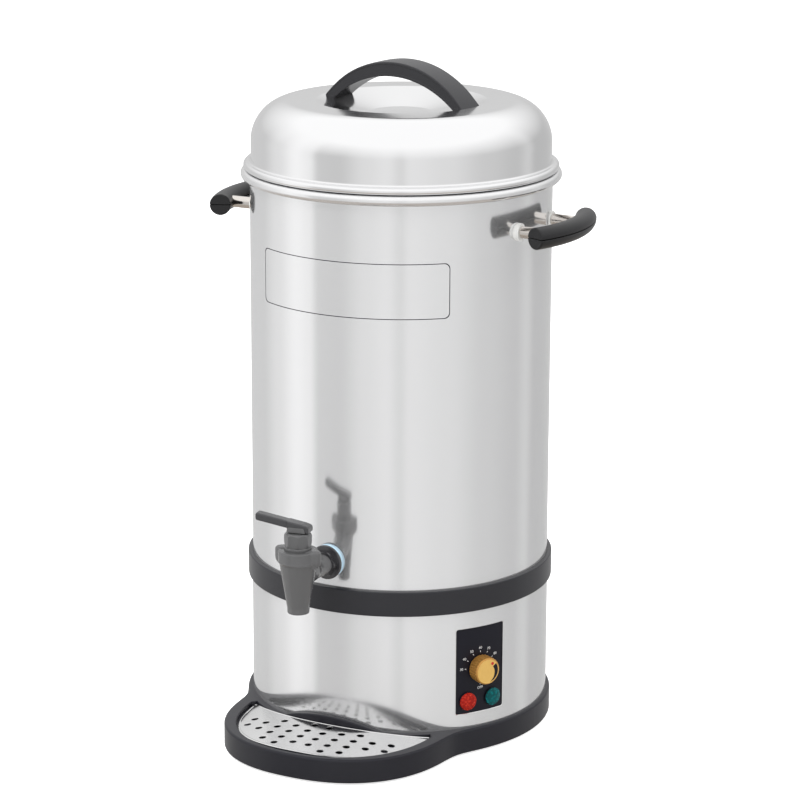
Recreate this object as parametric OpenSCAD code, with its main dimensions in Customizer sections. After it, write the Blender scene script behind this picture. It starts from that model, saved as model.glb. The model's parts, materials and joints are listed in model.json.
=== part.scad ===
// Mulled wine kettle: heated stainless tank with tap, thermostat panel and drip base.
// Millimetres. The origin is on the kettle's axis at floor level, +Z is up, the tap points along -Y.
// Azimuths are counted from the tap, anticlockwise seen from above.

/* [Base] */
// Width of the base's ledge round the lower housing
ledge_w = 3.4; // [2:0.2:9]
// Height of the base's top deck above the floor
deck_z = 24.5; // [22:0.5:30]
// Gap between the floor and the base's lower edge
base_lift = 2; // [1:0.5:3]
// Wall of the base moulding
base_wall = 4.5; // [3.5:0.5:5]
// Reach of the drip lobe beyond the round part of the base
lobe_out = 74.3; // [62:0.5:86]
// How much narrower the drip lobe is than the round part, on each side
lobe_in = 36.3; // [29:0.5:48]
// Squareness of the drip lobe, 2 is an ellipse
lobe_square = 2.3; // [2:0.1:2.6]
// Softness of the flanks where the lobe meets the round part
flank_soft = 12.6; // [8:0.2:16]
// Rounding of the base's top edge
base_round = 2.4; // [1:0.2:3]
// Height of the arched dam behind the drip plate
dam_h = 11.9; // [8:0.1:14]
// Thickness of the arched dam
dam_t = 5.5; // [4:0.5:7]
// Radius of the dam's arched top
dam_arch_r = 130; // [120:5:150]
// Diameter of a rubber foot
foot_d = 20; // [16:1:22]
// Height of a rubber foot
foot_h = 4; // [3.5:0.5:5]
// Thickness of the sheet that closes the underside
bottom_t = 1; // [0.8:0.1:1.5]
// Diameter of the base screws
screw_d = 4; // [3:0.5:5]

/* [Drip plate] */
// Width of the base's rim in front of the drip plate
rim_w = 7; // [5:0.5:10]
// Thickness of the drip plate's sheet
plate_t = 1; // [0.8:0.1:1.5]
// Depth of the drip plate's turned-down front lip
plate_lip_h = 3; // [2:0.5:4]
// Width of the drip plate's front lip
plate_lip_w = 2.2; // [1.6:0.2:3]
// Bow radius of the drip plate from side to side
plate_bow_r = 450; // [400:10:900]
// Fall of the drip plate towards its front, degrees
plate_fall = 3.5; // [2:0.5:4]
// Width of the base's top beside the drip plate's tips
plate_side_w = 13.2; // [11:0.2:18]
// Half angle that the drip plate spans
plate_half_a = 38.5; // [34:0.5:39]
// Diameter of the drain holes
drain_d = 6.4; // [4:0.2:7.4]
// Sideways pitch of the drain holes
drain_pitch_x = 16; // [14:1:20]
// Pitch of the drain holes from back to front
drain_pitch_y = 13.5; // [12:0.5:18]

/* [Body] */
// Outer radius of the tank
tank_r = 140; // [138:0.5:141]
// Wall of the tank
tank_wall = 1; // [0.8:0.1:1.5]
// Height of the tank's floor above the wall's lower edge
floor_rise = 15; // [13:0.5:20]
// Height of the rim's top above the tank's floor
tank_h = 362; // [315:1:395]
// Section height and width of the rolled rim
rim_roll = 9.4; // [8:0.2:10]
// Step from the tank's wall out to the lower housing
housing_step = 0.6; // [0.4:0.1:1.4]
// Wall of the lower housing
housing_wall = 0.8; // [0.6:0.1:1.2]
// Height of the lower housing that shows between the deck and the trim band
housing_h = 113.3; // [109:0.1:116]
// Height of the trim band
band_h = 23.2; // [20:0.2:26]
// Thickness of the trim band round the lower housing
band_t = 3.6; // [2.4:0.2:6.4]
// Thickness of the band's inner rib, which carries the tank
band_rib_t = 1.2; // [1:0.1:2]

/* [Lid] */
// Overhang of the lid's flange beyond the tank's wall
lid_flange_w = 5.8; // [4:0.1:8]
// Step from the tank's wall in to the lid's upright wall
lid_step = 1.2; // [0.5:0.1:2]
// Height of the lid's upright wall above the rim
lid_wall_h = 25.8; // [20:0.2:32]
// Height of the lid's crown above the rim
lid_crown_h = 62.2; // [56:0.2:70]
// Width of the lid's rounded shoulder
shoulder_w = 33.8; // [27:0.2:41]
// Radius where the crown turns down into the dish
lid_dish_r = 78; // [70:1:84]
// Radius of the dish's flat floor
lid_floor_r = 27; // [20:1:40]
// Height of the dish's floor above the rim
lid_floor_h = 51.2; // [46:0.2:54]
// Thickness of the lid's sheet
lid_t = 0.9; // [0.7:0.1:1.2]
// Depth of the locating ring below the rim
lid_ring_h = 8; // [5:1:15]
// Width of the lid handle's strap
strap_w = 29.4; // [24:0.2:34]
// Height of the strap's top above the rim
strap_top_h = 98.2; // [92:0.2:104]
// Thickness of the strap at its middle
strap_t = 13.3; // [10:0.1:16]
// Radius of the strap's top curve
strap_top_r = 96; // [92:1:104]
// Radius of the strap's under curve
strap_low_r = 98; // [94:1:106]
// Azimuth of the lid handle as it stands
lid_turn = 83.5; // [60:0.5:120]

/* [Side handles] */
// Distance of the side handles below the rim's top
grip_drop = 42; // [30:1:80]
// Diameter of a grip
grip_d = 20; // [17:0.5:24]
// Radius of a grip's curved centre line
grip_arc_r = 132; // [120:1:150]
// Half the angle that a grip spans on its curve
grip_half_a = 24.5; // [21:0.5:27]
// Distance of a grip's middle from the tank's wall
grip_out = 34.5; // [30:0.5:42]
// Distance of a handle bolt from the handle's middle
bolt_y = 33; // [28:0.5:38]
// Diameter of a handle bolt
bolt_d = 5; // [4:0.5:6]
// Outer diameter of a handle's spacer sleeve
sleeve_d = 11; // [9:0.5:13]
// Diameter of a handle's washers
washer_d = 16; // [14:0.5:20]

/* [Tap] */
// Height of the tap's shank above the tank's floor
tap_rise = 20; // [18:0.5:27]
// Distance of the spout's axis from the tank's wall
spout_out = 55.5; // [52:0.5:66]
// Outer radius of the shank through the wall
shank_r = 8; // [7:0.5:9]
// Radius of the collar on the valve chamber
collar_r = 18; // [17:0.5:20]
// Height of the collar
collar_h = 10.5; // [9:0.5:14]
// Radius of the spout where it meets the collar
spout_top_r = 17.2; // [15.5:0.1:17.5]
// Radius of the spout's mouth
spout_mouth_r = 10; // [9:0.5:12]
// Length of the spout below the collar
spout_len = 49; // [42:0.5:52]
// Bore of the spout
spout_bore_r = 6; // [5:0.25:7]
// Radius of the valve chamber
chamber_r = 10.5; // [9.5:0.25:11.5]
// Width of the tap's bonnet across its flats
bonnet_w = 23.2; // [21:0.2:25]
// Height of the bonnet above the collar
bonnet_h = 16; // [14:0.5:18]
// Diameter of the tap's stem
stem_d = 6; // [5:0.5:7]
// Reach of the two ears on the collar from the spout's axis
ear_reach = 23; // [21:0.5:25]
// Lift of the stem when the tap is open
stem_lift = 4; // [3:0.25:5]
// Length of the lever from its pin to its tip
lever_len = 39; // [36:0.5:60]
// Rise of the lever, degrees
lever_rise = 9.5; // [6:0.5:15]
// Azimuth that the lever points to, about the spout's axis
lever_a = -80; // [-110:1:0]
// Width of the lever's bar
lever_w = 10; // [9:0.5:14]
// Thickness of the lever's bar
lever_t = 6.8; // [5:0.2:7.4]
// Diameter of the flange on the nut outside the wall
tap_nut_d = 32; // [29:0.5:36]
// Width of that nut across its flats
tap_nut_w = 22; // [20:0.5:25]

/* [Control panel] */
// Azimuth of the control panel
panel_a = 60; // [56:1:75]
// Width of the panel along the housing's curve
panel_w = 53.5; // [50:0.5:62]
// Height of the panel's lower edge above the deck
panel_rise = 13.5; // [11:0.5:17]
// Height of the panel
panel_h = 83; // [80:0.5:92]
// Corner radius of the panel
panel_corner_r = 6; // [3:0.5:9]
// Thickness of the panel plate
panel_t = 2; // [1.5:0.1:3]
// Height of the dial's centre above the panel's lower edge
dial_rise = 42.5; // [40:0.5:46]
// Diameter of the thermostat knob
knob_d = 26; // [24:0.5:30]
// Length of the thermostat knob
knob_len = 12.5; // [11:0.5:16]
// Number of flutes round the knob
knob_flutes = 28; // [20:1:36]
// Height of the lamps above the panel's lower edge
lamp_rise = 12; // [10:0.5:15]
// Sideways distance of a lamp from the panel's middle
lamp_x = 13.5; // [12:0.5:16]
// Radius of a lamp's bezel
lamp_r = 8.5; // [7:0.25:10]

/* [Inside] */
// Width of the tank's floor that shows round the heater plate
heater_edge_w = 34; // [29:1:44]
// Thickness of the heater plate
heater_t = 4; // [3:0.5:6]
// Radius of the heating element's ring
element_r = 78; // [70:1:84]
// Diameter of the heating element's tube
element_d = 8; // [6.5:0.5:9]
// Diameter of the tie rod
tie_d = 6; // [5:0.5:8]
// Width of the thermostat's body
stat_w = 42; // [36:1:46]
// Height of the cable gland above the deck
gland_rise = 35.5; // [30:0.5:55]
// Thread diameter of the cable gland
gland_d = 16; // [14:1:20]

/* [Hidden] */
$fn = 96;
seat = 0.3;
slip = 0.05;
over = 1;
far = 400;

// Radii, from the tank's wall outwards and inwards
tank_in_r = tank_r - tank_wall;
housing_r = tank_r + housing_step;
band_r = housing_r + band_t;
base_r = housing_r + ledge_w;
lobe_reach = base_r + lobe_out;
lobe_half_w = base_r - lobe_in;
lid_flange_r = tank_r + lid_flange_w;
lid_wall_r = tank_r - lid_step;
lid_crown_r = lid_wall_r - shoulder_w;
grip_reach = tank_r + grip_out;
spout_y = tank_r + spout_out;
heater_r = tank_in_r - heater_edge_w;

// Heights, from the deck upwards
band_z = deck_z + housing_h;
housing_top_z = band_z + band_h / 2 - band_rib_t / 2;
tank_skirt_z = housing_top_z + band_rib_t;
tank_floor_z = tank_skirt_z + floor_rise;
rim_z = tank_floor_z + tank_h;
rim_low = rim_z - rim_roll;
grip_z = rim_z - grip_drop;
tap_z = tank_floor_z + tap_rise;
panel_z = deck_z + panel_rise;
dial_z = panel_z + dial_rise;
lamp_z = panel_z + lamp_rise;
gland_z = deck_z + gland_rise;

// Base
lobe_y = lobe_reach / 2 - 1.65;
lobe_half_l = lobe_reach - lobe_y;
base_inner_r = base_r - base_wall;
deck_t = 4;
well_z = 10;
well_floor_t = 3;
well_edge_w = 4.5;
dam_in_r = housing_r + seat;
dam_out_r = dam_in_r + dam_t;
plate_back_r = dam_out_r + 0.8;
well_back_r = dam_out_r + 1.5;
spigot_t = 3;
spigot_h = 7;
spigot_r = housing_r - housing_wall - seat;
deck_in_w = 10.5;
hub_r = spigot_r - spigot_t - deck_in_w;
screw_post_r = 7;
ring_screw_r = hub_r + 2;
ring_screw_as = [45, 135, 225, 315];
lobe_foot_x = lobe_half_w - 47.7;
lobe_foot_y = base_r + 24;
foot_head_z = foot_h / 2;
bottom_z = foot_h;
screw_head_r = screw_d * 0.95;
dimple_r = 16;
dimple_h = 6;
vent_r = 75;
vent_len = 40;
vent_w = 5;
rib_x = 2 * drain_pitch_x;
rib_t = 2.5;
drain_first = 6;

// Body
inner_seal_r = tap_nut_d / 2 - 3;
floor_edge_h = max(3, min(8, tap_z - inner_seal_r - tank_floor_z - 0.5));
floor_round = floor_edge_h - 1.2;

// Side handles
grip_cx = grip_reach - grip_arc_r;
grip_at_bolt = grip_cx + sqrt(grip_arc_r * grip_arc_r - bolt_y * bolt_y);
sleeve_end = grip_at_bolt - grip_d / 2 + 2;
wall_at_bolt = sqrt(tank_r * tank_r - bolt_y * bolt_y);
wall_at_edge = sqrt(tank_r * tank_r - pow(bolt_y - washer_d / 2, 2));
washer_x = wall_at_edge + 1.6;
seal_d = washer_d - 2;
seal_x = sqrt(tank_in_r * tank_in_r - pow(bolt_y + seal_d / 2, 2)) - 1.2;
bolt_head_r = bolt_d * 0.9;
bolt_head_t = bolt_d * 0.6;
nut_r = bolt_d * 0.92;
nut_t = bolt_d * 0.8;
bolt_end = grip_at_bolt + grip_d / 2 - 3;

// Lid
lid_z = rim_z + seat;
lid_seat_h = 6.8;
lid_ring_r = lid_wall_r - lid_t;
shoulder_h = lid_crown_h - lid_wall_h;
shoulder_n = 1.91;
strap_top_c = strap_top_h - strap_top_r;
strap_low_c = strap_top_h - strap_t - strap_low_r;
strap_screw_s = lid_dish_r - 6;
strap_screw_d = 4;
dish_slope = (lid_crown_h - 2 - lid_floor_h) / (lid_dish_r - lid_floor_r);
dish_at_screw = lid_floor_h + dish_slope * (strap_screw_s - lid_floor_r);

// Tap
collar_z = tap_z + 16;
collar_top = collar_z + collar_h;
spout_low = collar_z - spout_len;
valve_seat_z = tap_z - 5;
inlet_r = 4.5;
wall_out = tank_r;
tap_seal_t = 3.4;
tap_seal_y = wall_out + tap_seal_t;
tap_flange_t = 2.6;
tap_nut_t = 7.4;
tap_nut_y = tap_seal_y + tap_nut_t;
lock_seal_y = tank_in_r - 3.6;
lock_nut_t = 6;
lock_nut_y = lock_seal_y - lock_nut_t;
shank_in = lock_nut_y - 3;
bonnet_top = collar_top + bonnet_h;
bonnet_spigot_r = collar_r - 5.5;
bonnet_spigot_h = 11;
spring_room_r = 8;
spring_room_top = bonnet_top - 7;
pin_z = bonnet_top + 4.5;
pin_d = 3;
stem_low = valve_seat_z + 4;
stem_flange_z = valve_seat_z + 10;
stem_flange_r = 7;
stem_top = pin_z + 2.5;
cup_r = chamber_r - 2.2;
spring_wire = 1.4;
spring_turns = 6;
spring_r = 5.4;
spring_low = stem_flange_z + 2 + spring_wire / 2;
spring_top = spring_room_top - spring_wire / 2 - slip;
heel = 12;
lever_block_w = lever_w + 2;
lever_top = 5;
stem_slot = 3.2;

// Control panel
panel_plate_r = housing_r - housing_wall - 0.2;
panel_lap = 4.5;
panel_half_a = (panel_w / 2 + panel_lap) / housing_r * 180 / PI;
bezel_w = 1.5;
knob_d0 = panel_plate_r + 0.6;
stat_front = panel_plate_r - panel_t - 3.2;
stat_depth = 26;
stat_h = 34;
bushing_r = 5;
shaft_r = 3;
stat_nut_t = 2.4;
knob_recess = 3.4;
shaft_end = knob_d0 + knob_len - 3.6;
lamp_body_r = lamp_r - 2.3;
lamp_angle = lamp_x / panel_plate_r * 180 / PI;
lamp_bezel_t = 2;

// Inside
heater_z = tank_floor_z - heater_t;
element_z = heater_z - element_d / 2 - slip;
strap_z = element_z - element_d / 2 - 2;
element_gap_a = 30;
bulb_r = 3;
bulb_len = 60;
capillary_panel_r = 139.6;
capillary_move = (panel_plate_r - capillary_panel_r) * [sin(panel_a), -cos(panel_a), 0];
capillary = [for (p = [[102, -52, 160], [108, -48, 150], [112, -52, 140], [108, -60, 128],
    [104, -62, 116], [102, -59, 106], [102, -59, dial_z + stat_h / 2 + slip]]) p + capillary_move];

// Turns the children so that the -Y side faces the azimuth a
module at_azimuth(a) {
    rotate([0, 0, a]) children();
}

// Local frame with +Z pointing outwards along the azimuth a, at height z, and +Y up
module facing(a, z) {
    rotate([0, 0, a]) translate([0, 0, z]) rotate([90, 0, 0]) children();
}

// Polar radius of a superellipse in the drip lobe about the kettle's axis, by halving
function lobe_level(r, a, w, l) = pow(abs(r * sin(a)) / w, lobe_square)
    + pow(abs(r * cos(a) - lobe_y) / l, lobe_square) - 1;
function lobe_root(a, w, l, lo = 1, hi = lobe_reach + 20, n = 24) = n == 0 ? (lo + hi) / 2
    : lobe_level((lo + hi) / 2, a, w, l) > 0 ? lobe_root(a, w, l, lo, (lo + hi) / 2, n - 1)
    : lobe_root(a, w, l, (lo + hi) / 2, hi, n - 1);

// Outline of the base: the round part and the lobe joined by soft flanks
function soft_max(p, q) = (p + q + sqrt((p - q) * (p - q) + flank_soft * flank_soft)) / 2;
function outline_r(a) = abs(a) > 90 ? base_r + 0.3
    : max(base_r + 0.3, soft_max(base_r, lobe_root(a, lobe_half_w, lobe_half_l)));
outline_step = 2;
outline = [for (a = [-180:outline_step:180 - outline_step])
    let (r = outline_r(a)) [r * sin(a), -r * cos(a)]];

// Moves every point of a closed anticlockwise outline inwards by d
function unit(v) = v / norm(v);
function inset(pts, d) = [for (i = [0:len(pts) - 1])
    let (n = len(pts), t = unit(pts[(i + 1) % n] - pts[(i + n - 1) % n])) pts[i] + d * [-t[1], t[0]]];

// Corner-rounded rectangle as points, centred
function rounded_rect(w, h, r) = [for (q = [0:3], s = [0:6])
    let (a = q * 90 + s * 15, cx = (q == 0 || q == 3 ? 1 : -1) * (w / 2 - r),
        cy = (q < 2 ? 1 : -1) * (h / 2 - r)) [cx + r * cos(a), cy + r * sin(a)]];

// Solid skin over a stack of closed rings of equal length
module loft(rings) {
    n = len(rings[0]);
    m = len(rings);
    points = [for (ring = rings, p = ring) p];
    sides = [for (k = [0:m - 2], i = [0:n - 1])
        [k * n + i, (k + 1) * n + i, (k + 1) * n + (i + 1) % n, k * n + (i + 1) % n]];
    faces = concat([[for (i = [0:n - 1]) i]], sides, [[for (i = [n - 1:-1:0]) (m - 1) * n + i]]);
    polyhedron(points, faces, convexity = 6);
}

// Round tube swept along a path of points
function path_dir(path, i) = unit(path[min(i + 1, len(path) - 1)] - path[max(i - 1, 0)]);
module swept_tube(path, r, sides) {
    rings = [for (i = [0:len(path) - 1])
        let (t = path_dir(path, i), side = unit(cross(t, abs(t[2]) > 0.9 ? [0, 1, 0] : [0, 0, 1])),
            up = cross(t, side))
        [for (k = [0:sides - 1]) path[i] + r * (cos(k * 360 / sides) * side
            + sin(k * 360 / sides) * up)]];
    loft(rings);
}

// Ring of radius a to b between the heights z0 and z1
module ring(r_in, r_out, z0, z1) {
    difference() {
        translate([0, 0, z0]) cylinder(r = r_out, h = z1 - z0);
        translate([0, 0, z0 - over]) cylinder(r = r_in, h = z1 - z0 + 2 * over);
    }
}

// Hexagonal prism by its width across flats
module hexagon(w, h) {
    cylinder(d = w / cos(30), h = h, $fn = 6);
}

// Everything below the bowed, sloping surface that lies "drop" under the drip plate's top
plate_front_y = lobe_reach + 1 - rim_w;
plate_front_z = deck_z + 0.4;
plate_over = 20;
module below_plate(drop) {
    r = plate_bow_r - drop;
    translate([0, -plate_front_y, plate_front_z]) rotate([-90 + plate_fall, 0, 0])
        translate([0, plate_bow_r, -plate_over]) cylinder(r = r, h = plate_front_y + plate_over, $fn = 360);
}

module plate_sector(half_a) {
    polygon([[0, 0], far * [sin(half_a), -cos(half_a)], [0, -2 * far],
        far * [-sin(half_a), -cos(half_a)]]);
}

// Crescent between the dam and the drip plate's front edge, drawn in by d, as a flat shape
function plate_edge_r(a, d) = lobe_root(a, lobe_half_w - plate_side_w - d, lobe_half_l - rim_w - d);
module crescent(d, back, half_a) {
    difference() {
        intersection() {
            polygon(concat([[0, 0]], [for (a = [-60:outline_step:60])
                let (r = plate_edge_r(a, d)) [r * sin(a), -r * cos(a)]]));
            plate_sector(half_a);
        }
        circle(r = back);
    }
}

module foot_places() {
    for (a = ring_screw_as) at_azimuth(a) translate([0, -ring_screw_r, 0]) children();
    for (s = [-1, 1]) translate([s * lobe_foot_x, -lobe_foot_y, 0]) children();
}

module base() {
    color("#26262b") difference() {
        union() {
            difference() {
                loft([for (k = [[base_lift, 1], [base_lift + 1, 0], [deck_z - base_round, 0],
                    [deck_z - 0.45 * base_round, 0.12 * base_round],
                    [deck_z - 0.12 * base_round, 0.45 * base_round], [deck_z, base_round]])
                    [for (p = inset(outline, k[1])) [p[0], p[1], k[0]]]]);
                translate([0, 0, -over]) cylinder(r = hub_r, h = deck_z + 2 * over);
                translate([0, 0, -over]) cylinder(r = base_inner_r, h = deck_z - deck_t + over);
                translate([0, 0, -over]) linear_extrude(well_z - well_floor_t + over)
                    difference() {
                        polygon(inset(outline, base_wall));
                        circle(r = base_r);
                        plate_gap();
                    }
                translate([0, 0, well_z]) linear_extrude(deck_z)
                    crescent(well_edge_w, well_back_r, plate_half_a);
                difference() {
                    linear_extrude(2 * deck_z) crescent(-0.5, plate_back_r - 0.5, plate_half_a + 0.3);
                    below_plate(plate_lip_h + seat);
                }
            }
            base_posts();
            ring(spigot_r - spigot_t, spigot_r, deck_z - over, deck_z + spigot_h);
            base_dam();
            base_ribs();
        }
        foot_places() translate([0, 0, -over]) cylinder(d = screw_d + 2 * slip, h = foot_head_z + 13);
    }
}

// Keeps the underside pocket out of the round part's back half
module plate_gap() {
    translate([-far, -0.55 * base_r]) square([2 * far, far]);
}

module base_posts() {
    for (a = ring_screw_as) at_azimuth(a) translate([0, -ring_screw_r, bottom_z + bottom_t])
        cylinder(r = screw_post_r, h = deck_z - deck_t / 2 - bottom_z - bottom_t);
    for (s = [-1, 1]) translate([s * lobe_foot_x, -lobe_foot_y, bottom_z])
        cylinder(r = screw_post_r, h = well_z + 6 - bottom_z);
}

// Upstand behind the drip plate with an arched top
module base_dam() {
    intersection() {
        ring(dam_in_r, dam_out_r, deck_z - over, deck_z + dam_h + over);
        translate([0, 0, deck_z + dam_h - dam_arch_r]) rotate([90, 0, 0])
            cylinder(r = dam_arch_r, h = far, $fn = 180);
        translate([0, 0, deck_z - over]) linear_extrude(far) plate_sector(40);
    }
}

// Ribs on the well's floor that carry the drip plate's sheet
module base_ribs() {
    intersection() {
        for (x = [-rib_x, 0, rib_x]) translate([x - rib_t / 2, -far, well_z - over])
            cube([rib_t, far, deck_z]);
        translate([0, 0, well_z - over]) linear_extrude(2 * deck_z)
            crescent(well_edge_w - over, well_back_r - over, plate_half_a);
        below_plate(plate_t + seat);
    }
}

module bottom_plate() {
    z = bottom_z;
    t = bottom_t;
    color("#b9bcc0") difference() {
        rotate_extrude() polygon([[0, z + dimple_h], [dimple_r, z + dimple_h], [dimple_r + 5, z],
            [base_inner_r - seat, z], [base_inner_r - seat, z + t], [dimple_r + 5 + t / 2, z + t],
            [dimple_r + t / 2, z + dimple_h + t], [0, z + dimple_h + t]]);
        translate([0, 0, z]) cylinder(d = tie_d + 0.4, h = 2 * dimple_h);
        for (a = ring_screw_as) at_azimuth(a) translate([0, -ring_screw_r, z - over])
            cylinder(d = screw_d + 0.4, h = t + 2 * over);
        for (a = [0:15:345]) at_azimuth(a) translate([0, -vent_r, z - over])
            linear_extrude(t + 2 * over) polygon(rounded_rect(vent_w, vent_len, vent_w / 2 - 0.1));
    }
}

module feet() {
    color("#1b1b1d") foot_places() difference() {
        union() {
            cylinder(d1 = foot_d - 2, d2 = foot_d, h = 1);
            translate([0, 0, 1]) cylinder(d = foot_d, h = foot_h - 1);
        }
        translate([0, 0, -over]) cylinder(d = screw_d + 0.4, h = foot_h + 2 * over);
        translate([0, 0, -over]) cylinder(r = screw_head_r + 0.5, h = foot_head_z + over);
    }
}

module base_screws() {
    color("#c9ccd0") foot_places() difference() {
        union() {
            translate([0, 0, foot_head_z - 1.4]) cylinder(r = screw_head_r, h = 1.4);
            translate([0, 0, foot_head_z]) cylinder(d = screw_d, h = 11);
        }
        for (a = [0, 90]) rotate([0, 0, a]) translate([-2, -0.4, foot_head_z - 1.4 - over])
            cube([4, 0.8, over + 0.8]);
    }
}

module drip_plate() {
    rows = ceil((lobe_reach - dam_out_r) / drain_pitch_y);
    cols = ceil(lobe_half_w / drain_pitch_x);
    color("#e4e6e8") difference() {
        union() {
            intersection() {
                linear_extrude(3 * deck_z) crescent(0, plate_back_r, plate_half_a);
                difference() {
                    below_plate(0);
                    below_plate(plate_t);
                }
            }
            intersection() {
                linear_extrude(3 * deck_z) difference() {
                    crescent(0, plate_back_r, plate_half_a);
                    crescent(plate_lip_w, 0, 80);
                }
                difference() {
                    below_plate(-0.5);
                    below_plate(plate_lip_h);
                }
            }
        }
        for (i = [0:cols], j = [0:rows], s = [-1, 1]) {
            x = s * (i + 0.5) * drain_pitch_x;
            y = dam_out_r + drain_first + (j + 0.5 * (i % 2)) * drain_pitch_y;
            r = norm([x, y]);
            a = atan2(x, y);
            if (r > plate_back_r + 0.7 * drain_d && abs(a) < plate_half_a - 3
                && r < plate_edge_r(a, plate_lip_w) - 0.8 * drain_d)
                translate([x, -y, 0]) cylinder(d = drain_d, h = 3 * deck_z);
        }
    }
}

module lower_housing() {
    color("#c8c8c8") difference() {
        ring(housing_r - housing_wall, housing_r, deck_z + slip, housing_top_z - slip);
        facing(panel_a, panel_z + panel_h / 2) translate([0, 0, housing_r / 2])
            linear_extrude(housing_r) polygon(rounded_rect(panel_chord, panel_h, panel_corner_r));
        facing(180, gland_z) translate([0, 0, housing_r / 2]) cylinder(d = gland_d + 0.4, h = housing_r);
    }
}
panel_chord = 2 * housing_r * sin(panel_w / 2 / housing_r * 180 / PI);

module trim_band() {
    z0 = band_z;
    z1 = band_z + band_h;
    r0 = housing_r + slip;
    r1 = tank_r + slip;
    c = 1.2;
    color("#26262b") rotate_extrude() polygon([[r0, z0], [band_r - c, z0],
        [band_r - 0.35 * c, z0 + 0.35 * c], [band_r, z0 + c], [band_r, z1 - c],
        [band_r - 0.35 * c, z1 - 0.35 * c], [band_r - c, z1],
        [r1, z1], [r1, tank_skirt_z], [tank_in_r - 3, tank_skirt_z], [tank_in_r - 3, housing_top_z],
        [r0, housing_top_z]]);
}

// Arc of the rolled rim's section between the angles a0 and a1
function rim_curl(r, a0, a1) = [for (a = [a0:(a1 - a0) / 20:a1])
    [tank_in_r + rim_roll / 2 + r * cos(a), rim_z - rim_roll / 2 + r * sin(a)]];

// Wall of the tank from the trim band's rib to the rolled rim
module tank() {
    color("#cfcfcf") difference() {
        ring(tank_in_r, tank_r, tank_skirt_z + slip, rim_low - slip);
        facing(0, tap_z) translate([0, 0, tank_r / 2]) cylinder(r = shank_r + 0.5, h = tank_r);
        handle_bolt_axes() translate([0, 0, tank_r / 2]) cylinder(d = bolt_d + 0.4, h = tank_r);
    }
}

// Rim rolled outwards on top of the wall
module tank_rim() {
    color("#cfcfcf") rotate_extrude($fn = 144) polygon(concat([[tank_r, rim_low]],
        rim_curl(rim_roll / 2 - tank_wall, 180, -120), rim_curl(rim_roll / 2, -120, 180),
        [[tank_in_r, rim_low]]));
}

// Pressed floor, its turned-up edge welded inside the wall
module tank_floor() {
    r = tank_in_r - slip;
    f = floor_round;
    z = tank_floor_z;
    t = tank_wall;
    color("#cfcfcf") rotate_extrude($fn = 144) polygon(concat([[0, z]],
        [for (a = [-90:15:0]) [r - f + f * cos(a), z + f + f * sin(a)]],
        [[r, z + floor_edge_h], [r - t, z + floor_edge_h]],
        [for (a = [0:-15:-90]) [r - f + (f - t) * cos(a), z + f + (f - t) * sin(a)]], [[0, z + t]]));
}

// Local frames with +Z outwards along the four handle bolts
module handle_bolt_axes() {
    for (side = [-1, 1], s = [-1, 1])
        translate([0, s * bolt_y, grip_z]) rotate([0, side * 90, 0]) children();
}

module control_panel() {
    z0 = panel_z - panel_lap;
    z1 = panel_z + panel_h + panel_lap;
    r0 = panel_plate_r - panel_t;
    color("#1c1c1e") difference() {
        rotate([0, 0, panel_a - 90 - panel_half_a]) rotate_extrude(angle = 2 * panel_half_a, $fn = 144)
            translate([r0, z0]) square([panel_t, z1 - z0]);
        facing(panel_a, dial_z) cylinder(r = bushing_r + 0.2, h = far);
        for (s = [-1, 1]) facing(panel_a + s * lamp_angle, lamp_z) cylinder(r = lamp_body_r + 0.2, h = far);
    }
}

module panel_bezel() {
    color("#d5d5d5") intersection() {
        ring(panel_plate_r + slip, housing_r + 0.5, panel_z - over, panel_z + panel_h + over);
        facing(panel_a, panel_z + panel_h / 2) translate([0, 0, housing_r / 2]) linear_extrude(housing_r)
            difference() {
                polygon(rounded_rect(panel_chord - 0.2, panel_h - 0.2, panel_corner_r));
                polygon(rounded_rect(panel_chord - 2 * bezel_w, panel_h - 2 * bezel_w,
                    panel_corner_r - bezel_w));
            }
    }
}

module thermostat_body() {
    color("#dedbd2") facing(panel_a, dial_z) difference() {
        union() {
            translate([0, 0, stat_front - stat_depth]) linear_extrude(stat_depth)
                polygon(rounded_rect(stat_w, stat_h, 3));
            cylinder(r = bushing_r, h = knob_d0 + knob_recess - 0.5);
            translate([0, 0, stat_front - over])
                cylinder(r = 9, h = panel_plate_r - panel_t - stat_front + over - 0.3);
        }
        translate([0, 0, -over]) cylinder(r = stat_w, h = stat_front - stat_depth + over);
        translate([0, 0, stat_front - stat_depth / 2]) cylinder(r = shaft_r + slip, h = stat_depth * 2);
    }
}

module thermostat_nut() {
    color("#c9ccd0") facing(panel_a, dial_z) translate([0, 0, panel_plate_r + slip]) difference() {
        hexagon(14, stat_nut_t);
        translate([0, 0, -over]) cylinder(r = bushing_r + slip, h = stat_nut_t + 2 * over);
    }
}

module thermostat_shaft() {
    color("#c9ccd0") facing(panel_a, dial_z) translate([0, 0, stat_front - stat_depth / 2 + seat])
        cylinder(r = shaft_r, h = shaft_end - stat_front + stat_depth / 2 - 2 * seat);
}

module control_knob() {
    r = knob_d / 2;
    flute_r = 0.9;
    color("#c9a04e") facing(panel_a, dial_z) difference() {
        rotate_extrude() polygon([[0, knob_d0], [r, knob_d0], [r, knob_d0 + knob_len - 1.2],
            [r - 0.4, knob_d0 + knob_len - 0.4], [r - 1.2, knob_d0 + knob_len], [0, knob_d0 + knob_len]]);
        translate([0, 0, knob_d0 - over]) cylinder(r = r - 2.5, h = knob_recess + over);
        translate([0, 0, knob_d0]) cylinder(r = shaft_r + slip, h = shaft_end - knob_d0);
        for (k = [0:knob_flutes - 1]) rotate([0, 0, k * 360 / knob_flutes])
            translate([r + 0.3 * flute_r, 0, knob_d0 - over])
                cylinder(r = flute_r, h = knob_len - 0.5, $fn = 16);
    }
}

module lamp_at(side) {
    facing(panel_a + side * lamp_angle, lamp_z) children();
}

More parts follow.
